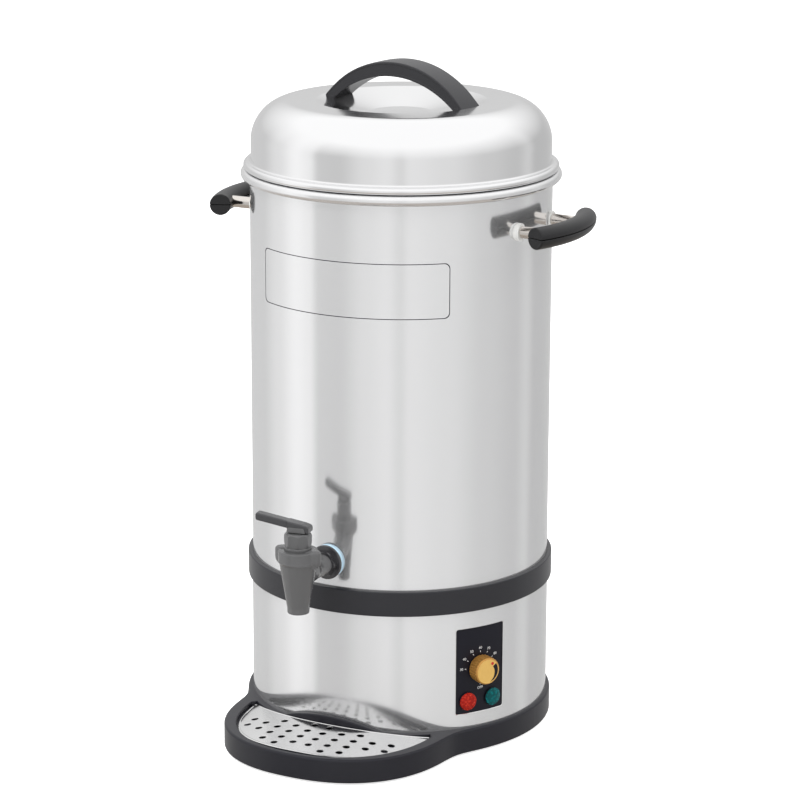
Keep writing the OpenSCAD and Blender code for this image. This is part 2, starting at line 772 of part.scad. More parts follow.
// Domed lens on a short skirt that sits inside the bezel
module lamp_lens(side) {
    dome = 2.6;
    r = lamp_body_r - 0.1;
    sphere_r = (r * r + dome * dome) / (2 * dome);
    lamp_at(side) {
        translate([0, 0, panel_plate_r + seat]) cylinder(r = r, h = lamp_bezel_t);
        intersection() {
            translate([0, 0, panel_plate_r + seat + lamp_bezel_t - over]) cylinder(r = r, h = far);
            translate([0, 0, panel_plate_r + seat + lamp_bezel_t + dome - sphere_r]) sphere(r = sphere_r);
        }
    }
}

module red_lamp_lens() {
    color("#c8321f") lamp_lens(-1);
}

module green_lamp_lens() {
    color("#007268") lamp_lens(1);
}

module lamp_bezels() {
    color("#cfd2d4") for (s = [-1, 1]) lamp_at(s) rotate_extrude() polygon([
        [lamp_body_r + slip, panel_plate_r + slip], [lamp_r, panel_plate_r + slip],
        [lamp_r, panel_plate_r + 0.5 * lamp_bezel_t], [lamp_r - 0.8, panel_plate_r + lamp_bezel_t],
        [lamp_body_r + slip, panel_plate_r + lamp_bezel_t]]);
}

module lamp_bodies() {
    color("#e8e6e0") for (s = [-1, 1]) lamp_at(s) {
        translate([0, 0, panel_plate_r - 22]) cylinder(r = lamp_body_r, h = 22);
        for (x = [-3, 3]) translate([x - 0.4, -2.4, panel_plate_r - 30]) cube([0.8, 4.8, 9]);
    }
}

module heater_plate() {
    color("#b9bcc0") difference() {
        translate([0, 0, heater_z]) cylinder(r = heater_r, h = heater_t - slip);
        translate([0, 0, heater_z - over]) cylinder(d = tie_d, h = over + 2);
    }
}

module heating_element() {
    color("#6c5a4a") at_azimuth(180) {
        rotate([0, 0, element_gap_a / 2 - 90]) rotate_extrude(angle = 360 - element_gap_a)
            translate([element_r, element_z]) circle(d = element_d, $fn = 32);
        for (s = [-1, 1]) rotate([0, 0, s * element_gap_a / 2]) translate([0, -element_r, 0]) {
            translate([0, 0, element_z - 22]) cylinder(d = element_d, h = 22, $fn = 32);
            translate([-3, -0.4, element_z - 32]) cube([6, 0.8, 11]);
        }
    }
}

module element_strap() {
    l = element_r + element_d + 2;
    color("#b9bcc0") difference() {
        translate([0, 0, strap_z]) linear_extrude(2 - slip) polygon(rounded_rect(2 * l, 22, 5));
        translate([0, 0, strap_z - over]) cylinder(d = tie_d + 0.4, h = 4);
    }
}

module tie_rod() {
    color("#c9ccd0") translate([0, 0, bottom_z + 1]) cylinder(d = tie_d, h = heater_z + 1.5 - bottom_z - 1);
}

module tie_nuts() {
    color("#c9ccd0") for (z = [bottom_z + dimple_h - 5 - slip, strap_z - 5 - slip])
        translate([0, 0, z]) difference() {
            hexagon(10, 5);
            translate([0, 0, -over]) cylinder(d = tie_d + 2 * slip, h = 5 + 2 * over);
        }
}

module sensor_bulb() {
    color("#c08457") {
        at_azimuth(panel_a) translate([-bulb_len / 2, -heater_r - 8, tank_floor_z - bulb_r - slip])
            rotate([0, 90, 0]) cylinder(r = bulb_r, h = bulb_len, $fn = 32);
        swept_tube(capillary, 1, 8);
    }
}

module boil_dry_cutout() {
    color("#d8d4c8") translate([0, -element_r / 2, heater_z - 9]) {
        cylinder(r = 8, h = 9 - slip);
        for (x = [-5, 5]) translate([x - 0.4, -2.5, -8]) cube([0.8, 5, 9]);
    }
}

module terminal_block() {
    w = 54;
    z0 = bottom_z + bottom_t + slip;
    color("#e8e6e0") translate([0, ring_screw_r - 30, z0]) difference() {
        translate([-w / 2, -9, 0]) cube([w, 18, 20]);
        for (k = [-1.5:1:1.5], s = [-1, 1]) translate([k * 12, s * 5, 8])
            cylinder(d = 4, h = 20, $fn = 24);
    }
}

module cable_gland() {
    r = gland_d / 2;
    d0 = housing_r + slip;
    color("#1b1b1d") facing(180, gland_z) difference() {
        union() {
            translate([0, 0, d0 - 14]) cylinder(r = r, h = 15);
            translate([0, 0, d0]) cylinder(r = r + 3, h = 2);
            translate([0, 0, d0 + 2]) hexagon(gland_d + 5, 6);
            translate([0, 0, d0 + 7.9]) cylinder(r1 = r + 1.6, r2 = r - 0.8, h = 13);
        }
        translate([0, 0, d0 - 14 - over]) cylinder(r = r - 3.5, h = far);
        translate([0, 0, d0 - 14 - over]) cylinder(r = r - 2, h = 12);
    }
}

module gland_nut() {
    color("#1b1b1d") facing(180, gland_z) translate([0, 0, housing_r - housing_wall - 6.6]) difference() {
        hexagon(gland_d + 6, 5);
        translate([0, 0, -over]) cylinder(r = gland_d / 2 + slip, h = 5 + 2 * over);
    }
}

// The tank's outer and inner faces as cutters, for what is shaped to its curve
module tank_outside() {
    cylinder(r = tank_r + slip, h = 2 * far, $fn = 720);
}

module tank_inside() {
    cylinder(r = tank_in_r - slip, h = 2 * far, $fn = 720);
}

// Round piece on the tap's shank between the distances d0 and d1 from the axis
module shank_ring(r, d0, d1) {
    facing(0, tap_z) difference() {
        translate([0, 0, d0]) cylinder(r = r, h = d1 - d0);
        translate([0, 0, d0 - over]) cylinder(r = shank_r + slip, h = d1 - d0 + 2 * over);
    }
}

module tap_seal() {
    color("#cfe3ee") difference() {
        shank_ring(tap_nut_d / 2 - 0.8, tank_r - 2, tap_seal_y);
        tank_outside();
    }
}

module tap_nut() {
    color("#6e6e70") facing(0, tap_z) translate([0, 0, tap_seal_y + slip]) difference() {
        union() {
            rotate_extrude() polygon([[0, 0], [tap_nut_d / 2, 0], [tap_nut_d / 2, tap_flange_t - 1],
                [tap_nut_d / 2 - 1, tap_flange_t], [0, tap_flange_t]]);
            hexagon(tap_nut_w, tap_nut_t - slip);
        }
        translate([0, 0, -over]) cylinder(r = shank_r + slip, h = tap_nut_t + 2 * over);
    }
}

module tap_inner_seal() {
    color("#e6e6e6") intersection() {
        shank_ring(inner_seal_r, lock_seal_y, tank_r);
        tank_inside();
    }
}

module tap_lock_nut() {
    color("#e0ddd5") facing(0, tap_z) translate([0, 0, lock_nut_y]) difference() {
        hexagon(24, lock_nut_t - slip);
        translate([0, 0, -over]) cylinder(r = shank_r + slip, h = lock_nut_t + 2 * over);
    }
}

module tap_body() {
    cone_drop = spout_len - 5.5;
    ear_r = 5;
    color("#6e6e70") difference() {
        union() {
            facing(0, tap_z) translate([0, 0, shank_in])
                cylinder(r = shank_r, h = spout_y - shank_in - chamber_r);
            facing(0, tap_z) translate([0, 0, tap_nut_y + slip])
                cylinder(r1 = shank_r + 2, r2 = shank_r + 4.4, h = spout_y - tap_nut_y - 12);
            translate([0, -spout_y, 0]) rotate_extrude() polygon([[0, spout_low],
                [spout_mouth_r - 0.8, spout_low], [spout_mouth_r, spout_low + 0.8],
                [spout_mouth_r + 0.05, collar_z - cone_drop - 1], [spout_top_r, collar_z - 1],
                [collar_r - 1, collar_z], [collar_r, collar_z + 1], [collar_r, collar_top - 1.2],
                [collar_r - 0.4, collar_top - 0.4], [collar_r - 1.2, collar_top], [0, collar_top]]);
            for (s = [-1, 1]) translate([s * (ear_reach - ear_r), -spout_y, collar_z - 5]) {
                cylinder(r1 = ear_r - 2.5, r2 = ear_r, h = 3);
                translate([0, 0, 3]) cylinder(r = ear_r, h = collar_h + 1.4);
                translate([0, 0, collar_h + 4.4]) cylinder(r1 = ear_r, r2 = ear_r - 0.8, h = 0.8);
            }
        }
        facing(0, tap_z) translate([0, 0, shank_in - over])
            cylinder(r = inlet_r, h = spout_y - shank_in - over);
        translate([0, -spout_y, 0]) {
            translate([0, 0, valve_seat_z]) cylinder(r = chamber_r, h = far);
            translate([0, 0, spout_low - over]) cylinder(r = spout_bore_r, h = far);
            translate([0, 0, spout_low - over]) cylinder(r = spout_mouth_r - 2.2, h = 0.42 * spout_len);
            translate([0, 0, collar_top - bonnet_spigot_h - seat])
                cylinder(r = bonnet_spigot_r + slip, h = far);
        }
    }
}

module tap_bonnet() {
    flats = 8;
    turn = 28;
    color("#6e6e70") translate([0, -spout_y, 0]) difference() {
        union() {
            translate([0, 0, collar_top - bonnet_spigot_h])
                cylinder(r = bonnet_spigot_r, h = bonnet_spigot_h + over);
            translate([0, 0, collar_top + slip]) cylinder(r = bonnet_w / 2 + 1, h = 3);
            translate([0, 0, collar_top + 2]) rotate([0, 0, turn - 90])
                cylinder(d = bonnet_w / cos(180 / flats), h = bonnet_h - 4, $fn = flats);
            translate([0, 0, bonnet_top - 3]) cylinder(d1 = bonnet_w, d2 = bonnet_w - 3, h = 3);
        }
        translate([0, 0, collar_top - bonnet_spigot_h - over])
            cylinder(r = spring_room_r, h = spring_room_top - collar_top + bonnet_spigot_h + over);
        translate([0, 0, collar_top]) cylinder(r = stem_d / 2 + slip, h = far);
    }
}

module tap_stem() {
    color("#d8d8d8") translate([0, -spout_y, 0]) difference() {
        union() {
            translate([0, 0, stem_low]) cylinder(d = stem_d, h = stem_top - stem_low);
            translate([0, 0, stem_flange_z]) cylinder(r = stem_flange_r, h = 2);
        }
        translate([0, 0, pin_z]) rotate([0, 90, lever_a])
            cylinder(d = pin_d + 2 * slip, h = stem_d + 2, center = true, $fn = 32);
    }
}

module seat_cup() {
    color("#f0ede6") translate([0, -spout_y, valve_seat_z + slip]) difference() {
        union() {
            cylinder(r1 = cup_r - 1.5, r2 = cup_r, h = 3);
            translate([0, 0, 3]) cylinder(r = cup_r, h = 3);
            translate([0, 0, 6]) cylinder(r1 = cup_r, r2 = stem_d / 2 + 1.5, h = 3.8);
        }
        translate([0, 0, stem_low - valve_seat_z - slip]) cylinder(d = stem_d + 2 * slip, h = far);
    }
}

module tap_spring() {
    steps = spring_turns * 16;
    color("#c9ccd0") translate([0, -spout_y, 0]) swept_tube([for (k = [0:steps])
        [spring_r * cos(k * 22.5), spring_r * sin(k * 22.5),
            spring_low + (spring_top - spring_low) * k / steps]], spring_wire / 2, 6);
}

// Frame at the lever's pin, with the lever pointing along -Y
module at_lever() {
    translate([0, -spout_y, pin_z]) rotate([0, 0, lever_a]) children();
}

// Side view of the lever from its heel to its tip: a block over the bonnet and a rising bar
module lever_side() {
    up = tan(lever_rise);
    l = lever_len;
    low = lever_top - lever_t;
    polygon([[-heel, -2], [-heel + 1.6, -4.2], [9, -4.2], [12.5, low + 12.5 * up],
        [l - 1.2, low + (l - 1.2) * up], [l, low + l * up + 1.2], [l, lever_top + l * up - 1.6],
        [l - 1.6, lever_top + (l - 1.6) * up],
        [6.4, lever_top + 6.4 * up], [4.8, lever_top], [-7.5, lever_top], [-10.8, 3], [-heel, 0]]);
}

module tap_lever() {
    color("#6e6e70") at_lever() difference() {
        union() {
            translate([lever_w / 2, 0, 0]) rotate([90, 0, -90]) linear_extrude(lever_w) lever_side();
            translate([lever_block_w / 2, 0, 0]) rotate([90, 0, -90]) linear_extrude(lever_block_w)
                intersection() {
                    lever_side();
                    translate([-heel, -heel]) square([heel + 9, 2 * heel]);
                }
        }
        translate([-stem_d / 2 - 0.3, -stem_d / 2 - stem_slot, -10])
            cube([stem_d + 0.6, stem_d + 2 * stem_slot, 14.1]);
        rotate([-lever_rise, 0, 0]) translate([2 - lever_w / 2, 3.5 - lever_len, -10])
            cube([lever_w - 4, lever_len - 19, 13]);
        rotate([0, 90, 0]) cylinder(d = pin_d + 2 * slip, h = lever_block_w + 2, center = true, $fn = 32);
    }
}

module lever_pin() {
    color("#c9ccd0") at_lever() rotate([0, 90, 0])
        cylinder(d = pin_d, h = lever_block_w, center = true, $fn = 32);
}

// One grip: a curved bar with flat ends, bored for its bolts, nuts and sleeves
module grip_bar() {
    difference() {
        translate([grip_cx, 0, grip_z]) rotate([0, 0, -grip_half_a]) rotate_extrude(angle = 2 * grip_half_a,
            $fn = 180) translate([grip_arc_r, 0]) circle(d = grip_d, $fn = 64);
        for (s = [-1, 1]) translate([0, s * bolt_y, grip_z]) rotate([0, 90, 0]) {
            translate([0, 0, grip_at_bolt - grip_d]) cylinder(d = sleeve_d + 0.2,
                h = sleeve_end + slip - grip_at_bolt + grip_d);
            translate([0, 0, grip_at_bolt - grip_d]) cylinder(d = bolt_d + 2 * slip,
                h = bolt_end + slip - grip_at_bolt + grip_d);
            translate([0, 0, sleeve_end + 5]) cylinder(r = nut_r + slip, h = nut_t + 2 * slip);
        }
    }
}

module grip_half(side, top) {
    color("#232327") mirror([side < 0 ? 1 : 0, 0, 0]) difference() {
        grip_bar();
        translate([0, -far / 2, top ? grip_z - far + slip : grip_z - slip]) cube(far);
    }
}

module left_grip_top() {
    grip_half(-1, true);
}

module left_grip_bottom() {
    grip_half(-1, false);
}

module right_grip_top() {
    grip_half(1, true);
}

module right_grip_bottom() {
    grip_half(1, false);
}

module handle_sleeves() {
    color("#c9ccd0") handle_bolt_axes() difference() {
        translate([0, 0, washer_x + slip]) cylinder(d = sleeve_d, h = sleeve_end - washer_x - slip);
        translate([0, 0, washer_x - over]) cylinder(d = bolt_d + 0.4, h = far);
    }
}

module handle_washers() {
    color("#dadada") difference() {
        handle_bolt_axes() difference() {
            translate([0, 0, wall_at_bolt - 6]) cylinder(d = washer_d, h = washer_x - wall_at_bolt + 6);
            cylinder(d = bolt_d + 0.4, h = far);
        }
        tank_outside();
    }
}

module handle_seals() {
    color("#e6e6e6") intersection() {
        handle_bolt_axes() difference() {
            translate([0, 0, seal_x]) cylinder(d = seal_d, h = 12);
            cylinder(d = bolt_d + 0.2, h = far);
        }
        tank_inside();
    }
}

module handle_bolts() {
    color("#c9ccd0") handle_bolt_axes() {
        translate([0, 0, seal_x - bolt_head_t - slip]) cylinder(r = bolt_head_r, h = bolt_head_t);
        translate([0, 0, seal_x - slip - 0.5]) cylinder(d = bolt_d, h = bolt_end - seal_x);
    }
}

module handle_nuts() {
    color("#c9ccd0") handle_bolt_axes() translate([0, 0, sleeve_end + 5 + slip]) difference() {
        cylinder(r = nut_r, h = nut_t, $fn = 6);
        translate([0, 0, -over]) cylinder(d = bolt_d + 2 * slip, h = nut_t + 2 * over);
    }
}

// Outer skin of the lid from the flange's edge to the middle, heights above the seat
shoulder = [for (k = [0:14]) let (a = k * 90 / 14)
    [lid_crown_r + shoulder_w * pow(cos(a), 2 / shoulder_n),
        lid_wall_h + shoulder_h * pow(sin(a), 2 / shoulder_n)]];
lid_skin = concat([[lid_flange_r, 0], [lid_flange_r, 2.8]],
    [for (a = [15:15:75]) [lid_flange_r - 4 + 4 * cos(a), 2.8 + 4 * sin(a)]],
    [[lid_wall_r + 1.6, lid_seat_h], [lid_wall_r + 0.5, lid_seat_h + 0.5], [lid_wall_r, lid_seat_h + 1.6]],
    shoulder,
    [[lid_dish_r + 4, lid_crown_h], [lid_dish_r + 1.4, lid_crown_h - 0.5], [lid_dish_r, lid_crown_h - 1.8],
        [lid_floor_r + 3, lid_floor_h + 0.5], [lid_floor_r - 3, lid_floor_h], [0, lid_floor_h]]);

// Offsets an open section inwards by the sheet's thickness
function sheet(pts, t) = [for (i = [0:len(pts) - 1])
    let (d = unit(pts[min(i + 1, len(pts) - 1)] - pts[max(i - 1, 0)]), q = pts[i] + t * [-d[1], d[0]])
    [max(q[0], 0), q[1]]];

module lid_shell() {
    under = sheet(lid_skin, lid_t);
    n = len(under);
    color("#d2d2d2") translate([0, 0, lid_z]) difference() {
        rotate_extrude($fn = 144) polygon(concat(lid_skin, [for (i = [n - 1:-1:0]) under[i]]));
        strap_screw_axes() translate([0, 0, lid_floor_h - 10]) cylinder(d = strap_screw_d + 0.4, h = 30);
    }
}

module lid_ring() {
    color("#d2d2d2")
        ring(lid_ring_r - 1 - slip, lid_ring_r - slip, rim_z - lid_ring_h, rim_z + lid_wall_h - 12);
}

module strap_screw_axes() {
    at_azimuth(lid_turn) for (s = [-1, 1]) translate([0, s * strap_screw_s, 0]) children();
}

// Arched strap whose feet are cut to the dish of the lid
module lid_handle() {
    span = lid_dish_r - 1;
    color("#1f1f22") translate([0, 0, lid_z]) difference() {
        at_azimuth(lid_turn) intersection() {
            translate([-strap_w / 2, 0, 0]) rotate([90, 0, 90]) linear_extrude(strap_w) difference() {
                translate([0, strap_top_c]) circle(r = strap_top_r, $fn = 360);
                translate([0, strap_low_c]) circle(r = strap_low_r, $fn = 360);
                translate([-far, -far]) square([2 * far, far + lid_floor_h]);
            }
            cylinder(r = span, h = far);
        }
        rotate_extrude() polygon([[0, 0], [span + over, 0],
            [span + over, lid_floor_h + dish_slope * (span + over - lid_floor_r) + seat],
            [lid_floor_r, lid_floor_h + seat], [0, lid_floor_h + seat]]);
        strap_screw_axes() translate([0, 0, lid_floor_h]) cylinder(d = strap_screw_d + 2 * slip,
            h = dish_at_screw - lid_floor_h + 5);
    }
}

module lid_screws() {
    head_z = dish_at_screw - lid_t - 3.2;
    color("#c9ccd0") translate([0, 0, lid_z]) strap_screw_axes() {
        translate([0, 0, head_z]) cylinder(d = 2 * strap_screw_d, h = 2.4);
        translate([0, 0, head_z + 2]) cylinder(d = strap_screw_d, h = dish_at_screw + 4.5 - head_z - 2);
    }
}

base();
bottom_plate();
feet();
base_screws();
drip_plate();
lower_housing();
trim_band();
tank();
tank_rim();
tank_floor();
control_panel();
panel_bezel();
thermostat_body();
thermostat_nut();
thermostat_shaft();
control_knob();
red_lamp_lens();
green_lamp_lens();
lamp_bezels();
lamp_bodies();
heater_plate();
heating_element();
element_strap();
tie_rod();
tie_nuts();
sensor_bulb();
boil_dry_cutout();
terminal_block();
cable_gland();
gland_nut();
tap_seal();
tap_nut();
tap_body();
tap_bonnet();
tap_stem();
seat_cup();
tap_spring();
tap_lever();
lever_pin();
tap_inner_seal();
tap_lock_nut();
left_grip_top();
left_grip_bottom();
right_grip_top();
right_grip_bottom();
handle_sleeves();
handle_washers();
handle_seals();
handle_bolts();
handle_nuts();
lid_shell();
lid_ring();
lid_handle();
lid_screws();
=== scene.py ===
# Mulled wine kettle: the look of the assembly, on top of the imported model.
# Numbers in the dictionaries are millimetres and degrees, the scene is in metres.
import bmesh
import bpy
import json
import math
from mathutils import Matrix, Vector
from mathutils.geometry import delaunay_2d_cdt

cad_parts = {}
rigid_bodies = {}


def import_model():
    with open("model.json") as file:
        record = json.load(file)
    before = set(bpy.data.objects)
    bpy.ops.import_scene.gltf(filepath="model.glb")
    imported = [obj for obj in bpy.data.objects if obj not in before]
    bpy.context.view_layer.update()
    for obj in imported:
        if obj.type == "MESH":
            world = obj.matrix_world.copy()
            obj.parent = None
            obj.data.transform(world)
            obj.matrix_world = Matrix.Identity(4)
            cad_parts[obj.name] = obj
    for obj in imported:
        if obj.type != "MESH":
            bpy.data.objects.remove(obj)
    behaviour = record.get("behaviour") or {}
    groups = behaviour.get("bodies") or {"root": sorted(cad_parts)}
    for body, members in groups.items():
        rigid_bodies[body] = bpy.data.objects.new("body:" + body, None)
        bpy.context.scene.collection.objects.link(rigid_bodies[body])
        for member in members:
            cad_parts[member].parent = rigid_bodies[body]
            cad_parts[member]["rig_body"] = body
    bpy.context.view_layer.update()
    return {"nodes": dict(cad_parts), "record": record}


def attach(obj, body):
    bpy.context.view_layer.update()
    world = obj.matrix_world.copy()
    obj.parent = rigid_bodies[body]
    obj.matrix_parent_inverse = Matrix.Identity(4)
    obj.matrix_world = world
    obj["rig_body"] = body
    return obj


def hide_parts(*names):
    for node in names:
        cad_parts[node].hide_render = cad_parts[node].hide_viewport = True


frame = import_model()
nodes = frame["nodes"]
mm = 0.001
print("frame loaded,", len(nodes), "nodes")


# Wires and finishes: a Wire is a socket that can be used in plain arithmetic
class Wire:
    def __init__(self, finish, socket):
        self.finish = finish
        self.socket = socket

    def combine(self, operation, first, second):
        return self.finish.node("ShaderNodeMath", {"operation": operation}, {0: first, 1: second})

    def __add__(self, other):
        return self.combine("ADD", self, other)

    def __radd__(self, other):
        return self.combine("ADD", other, self)

    def __sub__(self, other):
        return self.combine("SUBTRACT", self, other)

    def __rsub__(self, other):
        return self.combine("SUBTRACT", other, self)

    def __mul__(self, other):
        return self.combine("MULTIPLY", self, other)

    def __rmul__(self, other):
        return self.combine("MULTIPLY", other, self)

    def __truediv__(self, other):
        return self.combine("DIVIDE", self, other)

    def __rtruediv__(self, other):
        return self.combine("DIVIDE", other, self)

    def clipped(self, low, high):
        return self.combine("MAXIMUM", self.combine("MINIMUM", self, high), low)


class Finish:
    def __init__(self, name, owner=None):
        self.owner = owner or bpy.data.materials.new(name)
        self.owner.use_nodes = True
        self.tree = self.owner.node_tree
        self.tree.nodes.clear()

    def node(self, kind, settings=None, values=None, out=0):
        made = self.tree.nodes.new(kind)
        for key, value in (settings or {}).items():
            if key == "stops":
                ramp = made.color_ramp
                while len(ramp.elements) < len(value):
                    ramp.elements.new(0.5)
                for element, (place, level) in zip(ramp.elements, sorted(value)):
                    element.position = place
                    element.color = grey(level)
            elif key == "blend":
                made.color_ramp.interpolation = value
            else:
                setattr(made, key, value)
        for key, value in (values or {}).items():
            if isinstance(value, Wire):
                self.tree.links.new(value.socket, made.inputs[key])
            else:
                made.inputs[key].default_value = value
        return Wire(self, made.outputs[out]) if len(made.outputs) else made

    def mixed(self, factor, first, second):
        settings = {"data_type": "RGBA"}
        return self.node("ShaderNodeMix", settings, {0: factor, 6: rgba(first), 7: rgba(second)}, out=2)

    def place(self, stretch=(1, 1, 1)):
        where = self.node("ShaderNodeTexCoord", out=3)
        return self.node("ShaderNodeMapping", None, {0: where, 3: stretch})

    def noise(self, scale, stretch=(1, 1, 1), detail=2.0):
        values = {"Vector": self.place(stretch), "Scale": scale, "Detail": detail}
        return self.node("ShaderNodeTexNoise", None, values)

    def bump(self, height, distance, strength=1.0, under=None):
        values = {"Height": height, "Distance": distance, "Strength": strength}
        if under:
            values["Normal"] = under
        return self.node("ShaderNodeBump", None, values)

    def surface(self, **sockets):
        names = {"colour": "Base Color", "rough": "Roughness", "metal": "Metallic", "normal": "Normal",
                 "coat": "Coat Weight", "coatRough": "Coat Roughness", "shine": "Specular IOR Level"}
        values = {names[key]: rgba(value) if key == "colour" else value for key, value in sockets.items()}
        shader = self.node("ShaderNodeBsdfPrincipled", None, values)
        self.node("ShaderNodeOutputMaterial", None, {"Surface": shader})
        return self.owner


def rgba(value):
    if isinstance(value, Wire):
        return value
    return (*value, 1) if len(value) == 3 else value


def grey(level):
    return (level, level, level, 1)


# Studio: the camera, plain pale floor, even light and soft grey strips for the steel to mirror
view = {"azimuth": 27.8, "away": 2778.81, "height": 1038.37, "pitch": 14.8, "roll": 0.1927,
        "pan": -0.0105, "lens": 137.41, "film": 36, "reach": 50}


def makeCamera():
    lens = bpy.data.cameras.new("camera")
    lens.sensor_width = view["film"]
    lens.lens = view["lens"]
    lens.clip_end = view["reach"]
    camera = bpy.data.objects.new("camera", lens)
    bpy.context.scene.collection.objects.link(camera)
    turn = math.radians(view["azimuth"])
    spot = Vector((math.sin(turn), -math.cos(turn), 0)) * view["away"] + Vector((0, 0, view["height"]))
    aim = Matrix.Rotation(turn - math.radians(view["pan"]), 4, "Z")
    aim = aim @ Matrix.Rotation(math.radians(90 - view["pitch"]), 4, "X")
    aim = aim @ Matrix.Rotation(math.radians(view["roll"]), 4, "Z")
    camera.matrix_world = Matrix.Translation(spot * mm) @ aim
    bpy.context.scene.camera = camera


# Strips: degrees about the kettle from the camera, and brightness. Lamps: the same, degrees up, and share.
# Lamp size and distance and the floor's size are metres.
studio = {"strips": [(-180, 0.66), (-130, 0.69), (-107, 0.88), (-86, 1.1), (-73, 1.02), (-65, 0.7),
                     (-48, 0.68), (-27, 0.86), (-10, 0.93), (0, 0.8), (6, 0.92), (36, 0.85),
                     (68, 0.7), (98, 0.62), (112, 0.72), (124, 0.57), (140, 0.57), (180, 0.66)],
          "overhead": 1.18, "under": (0.25, 0.228, 0.205), "ambient": 0.66, "floorGlow": 0.75,
          "liftRate": 1.9, "liftFrom": 0.25, "dropRate": 2.9, "dropFrom": 0.95,
          "floor": 16, "paper": 0.86, "power": 52, "lampSize": 1.6, "lampAway": 2.6, "lampAim": 0.3,
          "lamps": {"key": (-38, 56, 1.0), "fill": (80, 35, 0.35), "back": (190, 50, 0.5)}}


def makeStudio():
    world = bpy.data.worlds.new("studio")
    bpy.context.scene.world = world
    air = Finish("studio", world)
    way = air.node("ShaderNodeTexCoord", out=0)
    parts = air.node("ShaderNodeSeparateXYZ", None, {0: way})
    sideways = Wire(air, parts.socket.node.outputs[0])
    depth = Wire(air, parts.socket.node.outputs[1])
    rise = Wire(air, parts.socket.node.outputs[2])
    turn = air.node("ShaderNodeMath", {"operation": "ARCTAN2"}, {0: sideways, 1: 0 - depth})
    fraction = turn / (2 * math.pi) + (0.5 - view["azimuth"] / 360)
    wrapped = air.node("ShaderNodeMath", {"operation": "FRACT"}, {0: fraction + 1})
    stops = [((place + 180) / 360, level / 2) for place, level in studio["strips"]]
    strips = air.node("ShaderNodeValToRGB", {"stops": stops, "blend": "EASE"}, {0: wrapped})
    lift = (rise * studio["liftRate"] - studio["liftFrom"]).clipped(0.0, 1.0)
    drop = (0 - rise * studio["dropRate"] - studio["dropFrom"]).clipped(0.0, 1.0)
    seen = air.mixed(drop, air.mixed(lift, strips, grey(studio["overhead"] / 2)), studio["under"])
    lightPath = air.node("ShaderNodeLightPath")
    eye = Wire(air, lightPath.socket.node.outputs["Is Camera Ray"])
    mirror = Wire(air, lightPath.socket.node.outputs["Is Glossy Ray"])
    clear = Wire(air, lightPath.socket.node.outputs["Is Transmission Ray"])
    plain = air.node("ShaderNodeBackground", None, {0: grey(1), 1: studio["ambient"]})
    shown = air.node("ShaderNodeBackground", None, {0: grey(1), 1: 1.0})
    mirrored = air.node("ShaderNodeBackground", None, {0: seen, 1: 2.0})
    bounced = (mirror + clear).clipped(0.0, 1.0)
    lit = air.node("ShaderNodeMixShader", None, {0: bounced, 1: plain, 2: mirrored})
    final = air.node("ShaderNodeMixShader", None, {0: eye, 1: lit, 2: shown})
    air.node("ShaderNodeOutputWorld", None, {0: final})


def makeLamps():
    for name, (side, height, share) in studio["lamps"].items():
        lamp = bpy.data.lights.new(name, "AREA")
        lamp.energy = studio["power"] * share
        lamp.size = studio["lampSize"]
        holder = bpy.data.objects.new(name, lamp)
        bpy.context.scene.collection.objects.link(holder)
        turn = math.radians(view["azimuth"] + side)
        high = math.radians(height)
        away = Vector((math.sin(turn) * math.cos(high), -math.cos(turn) * math.cos(high), math.sin(high)))
        holder.location = away * studio["lampAway"] + Vector((0, 0, studio["lampAim"]))
        holder.rotation_euler = away.to_track_quat("Z", "Y").to_euler()
        holder.visible_glossy = False
        holder.visible_camera = False


def makeFloor():
    cover = Finish("floorPaper")
    lightPath = cover.node("ShaderNodeLightPath")
    paper = cover.node("ShaderNodeBsdfDiffuse", None, {0: grey(studio["paper"])})
    glow = cover.node("ShaderNodeEmission", None, {0: grey(1), 1: lightPath * studio["floorGlow"]})
    both = cover.node("ShaderNodeAddShader", None, {0: paper, 1: glow})
    cover.node("ShaderNodeOutputMaterial", None, {"Surface": both})
    bpy.ops.mesh.primitive_plane_add(size=studio["floor"], location=(0, 0, 0))
    floor = bpy.context.object
    floor.name = "floor"
    floor.data.materials.append(cover.owner)
    floor.visible_glossy = False


makeCamera()
makeStudio()
makeLamps()
makeFloor()
bpy.context.scene.view_settings.view_transform = "Standard"
print("studio ready")


# Finishes of the kettle's materials
def polishedSteel(name, tone, rough, streak, waves=0.00012, metal=1.0):
    steel = Finish(name)
    fine = steel.noise(streak[0], streak[1], 3.0)
    slow = steel.noise(7.0, (1, 1, 0.6), 1.0)
    smear = steel.noise(22.0, (1, 1, 1), 3.0)
    roughness = rough + (fine - 0.5) * 0.05 + (smear - 0.5) * 0.05
    pull = steel.bump(fine, 0.000004)
    wave = steel.bump(slow, waves, 1.0, pull)
    shade = steel.mixed(smear, [level * 0.985 for level in tone], tone)
    return steel.surface(colour=shade, metal=metal, rough=roughness, normal=wave)


def mouldedPlastic(name, tone, rough, grain=0.00002, scale=1500.0, shine=0.5, coat=0.0):
    plastic = Finish(name)
    texture = plastic.noise(scale, (1, 1, 1), 2.0)
    cloud = plastic.noise(18.0, (1, 1, 1), 2.0)
    roughness = rough + (cloud - 0.5) * 0.08
    shade = plastic.mixed(cloud, [level * 0.88 for level in tone], [level * 1.12 for level in tone])
    return plastic.surface(colour=shade, rough=roughness, shine=shine, coat=coat, coatRough=0.08,
                           normal=plastic.bump(texture, grain))


def plainMetal(name, tone, rough, scale=240.0, metal=1.0):
    plain = Finish(name)
    scratch = plain.noise(scale, (1, 1, 5), 3.0)
    roughness = rough + (scratch - 0.5) * 0.12
    shade = plain.mixed(scratch, [level * 0.93 for level in tone], tone)
    return plain.surface(colour=shade, metal=metal, rough=roughness, normal=plain.bump(scratch, 0.00001))


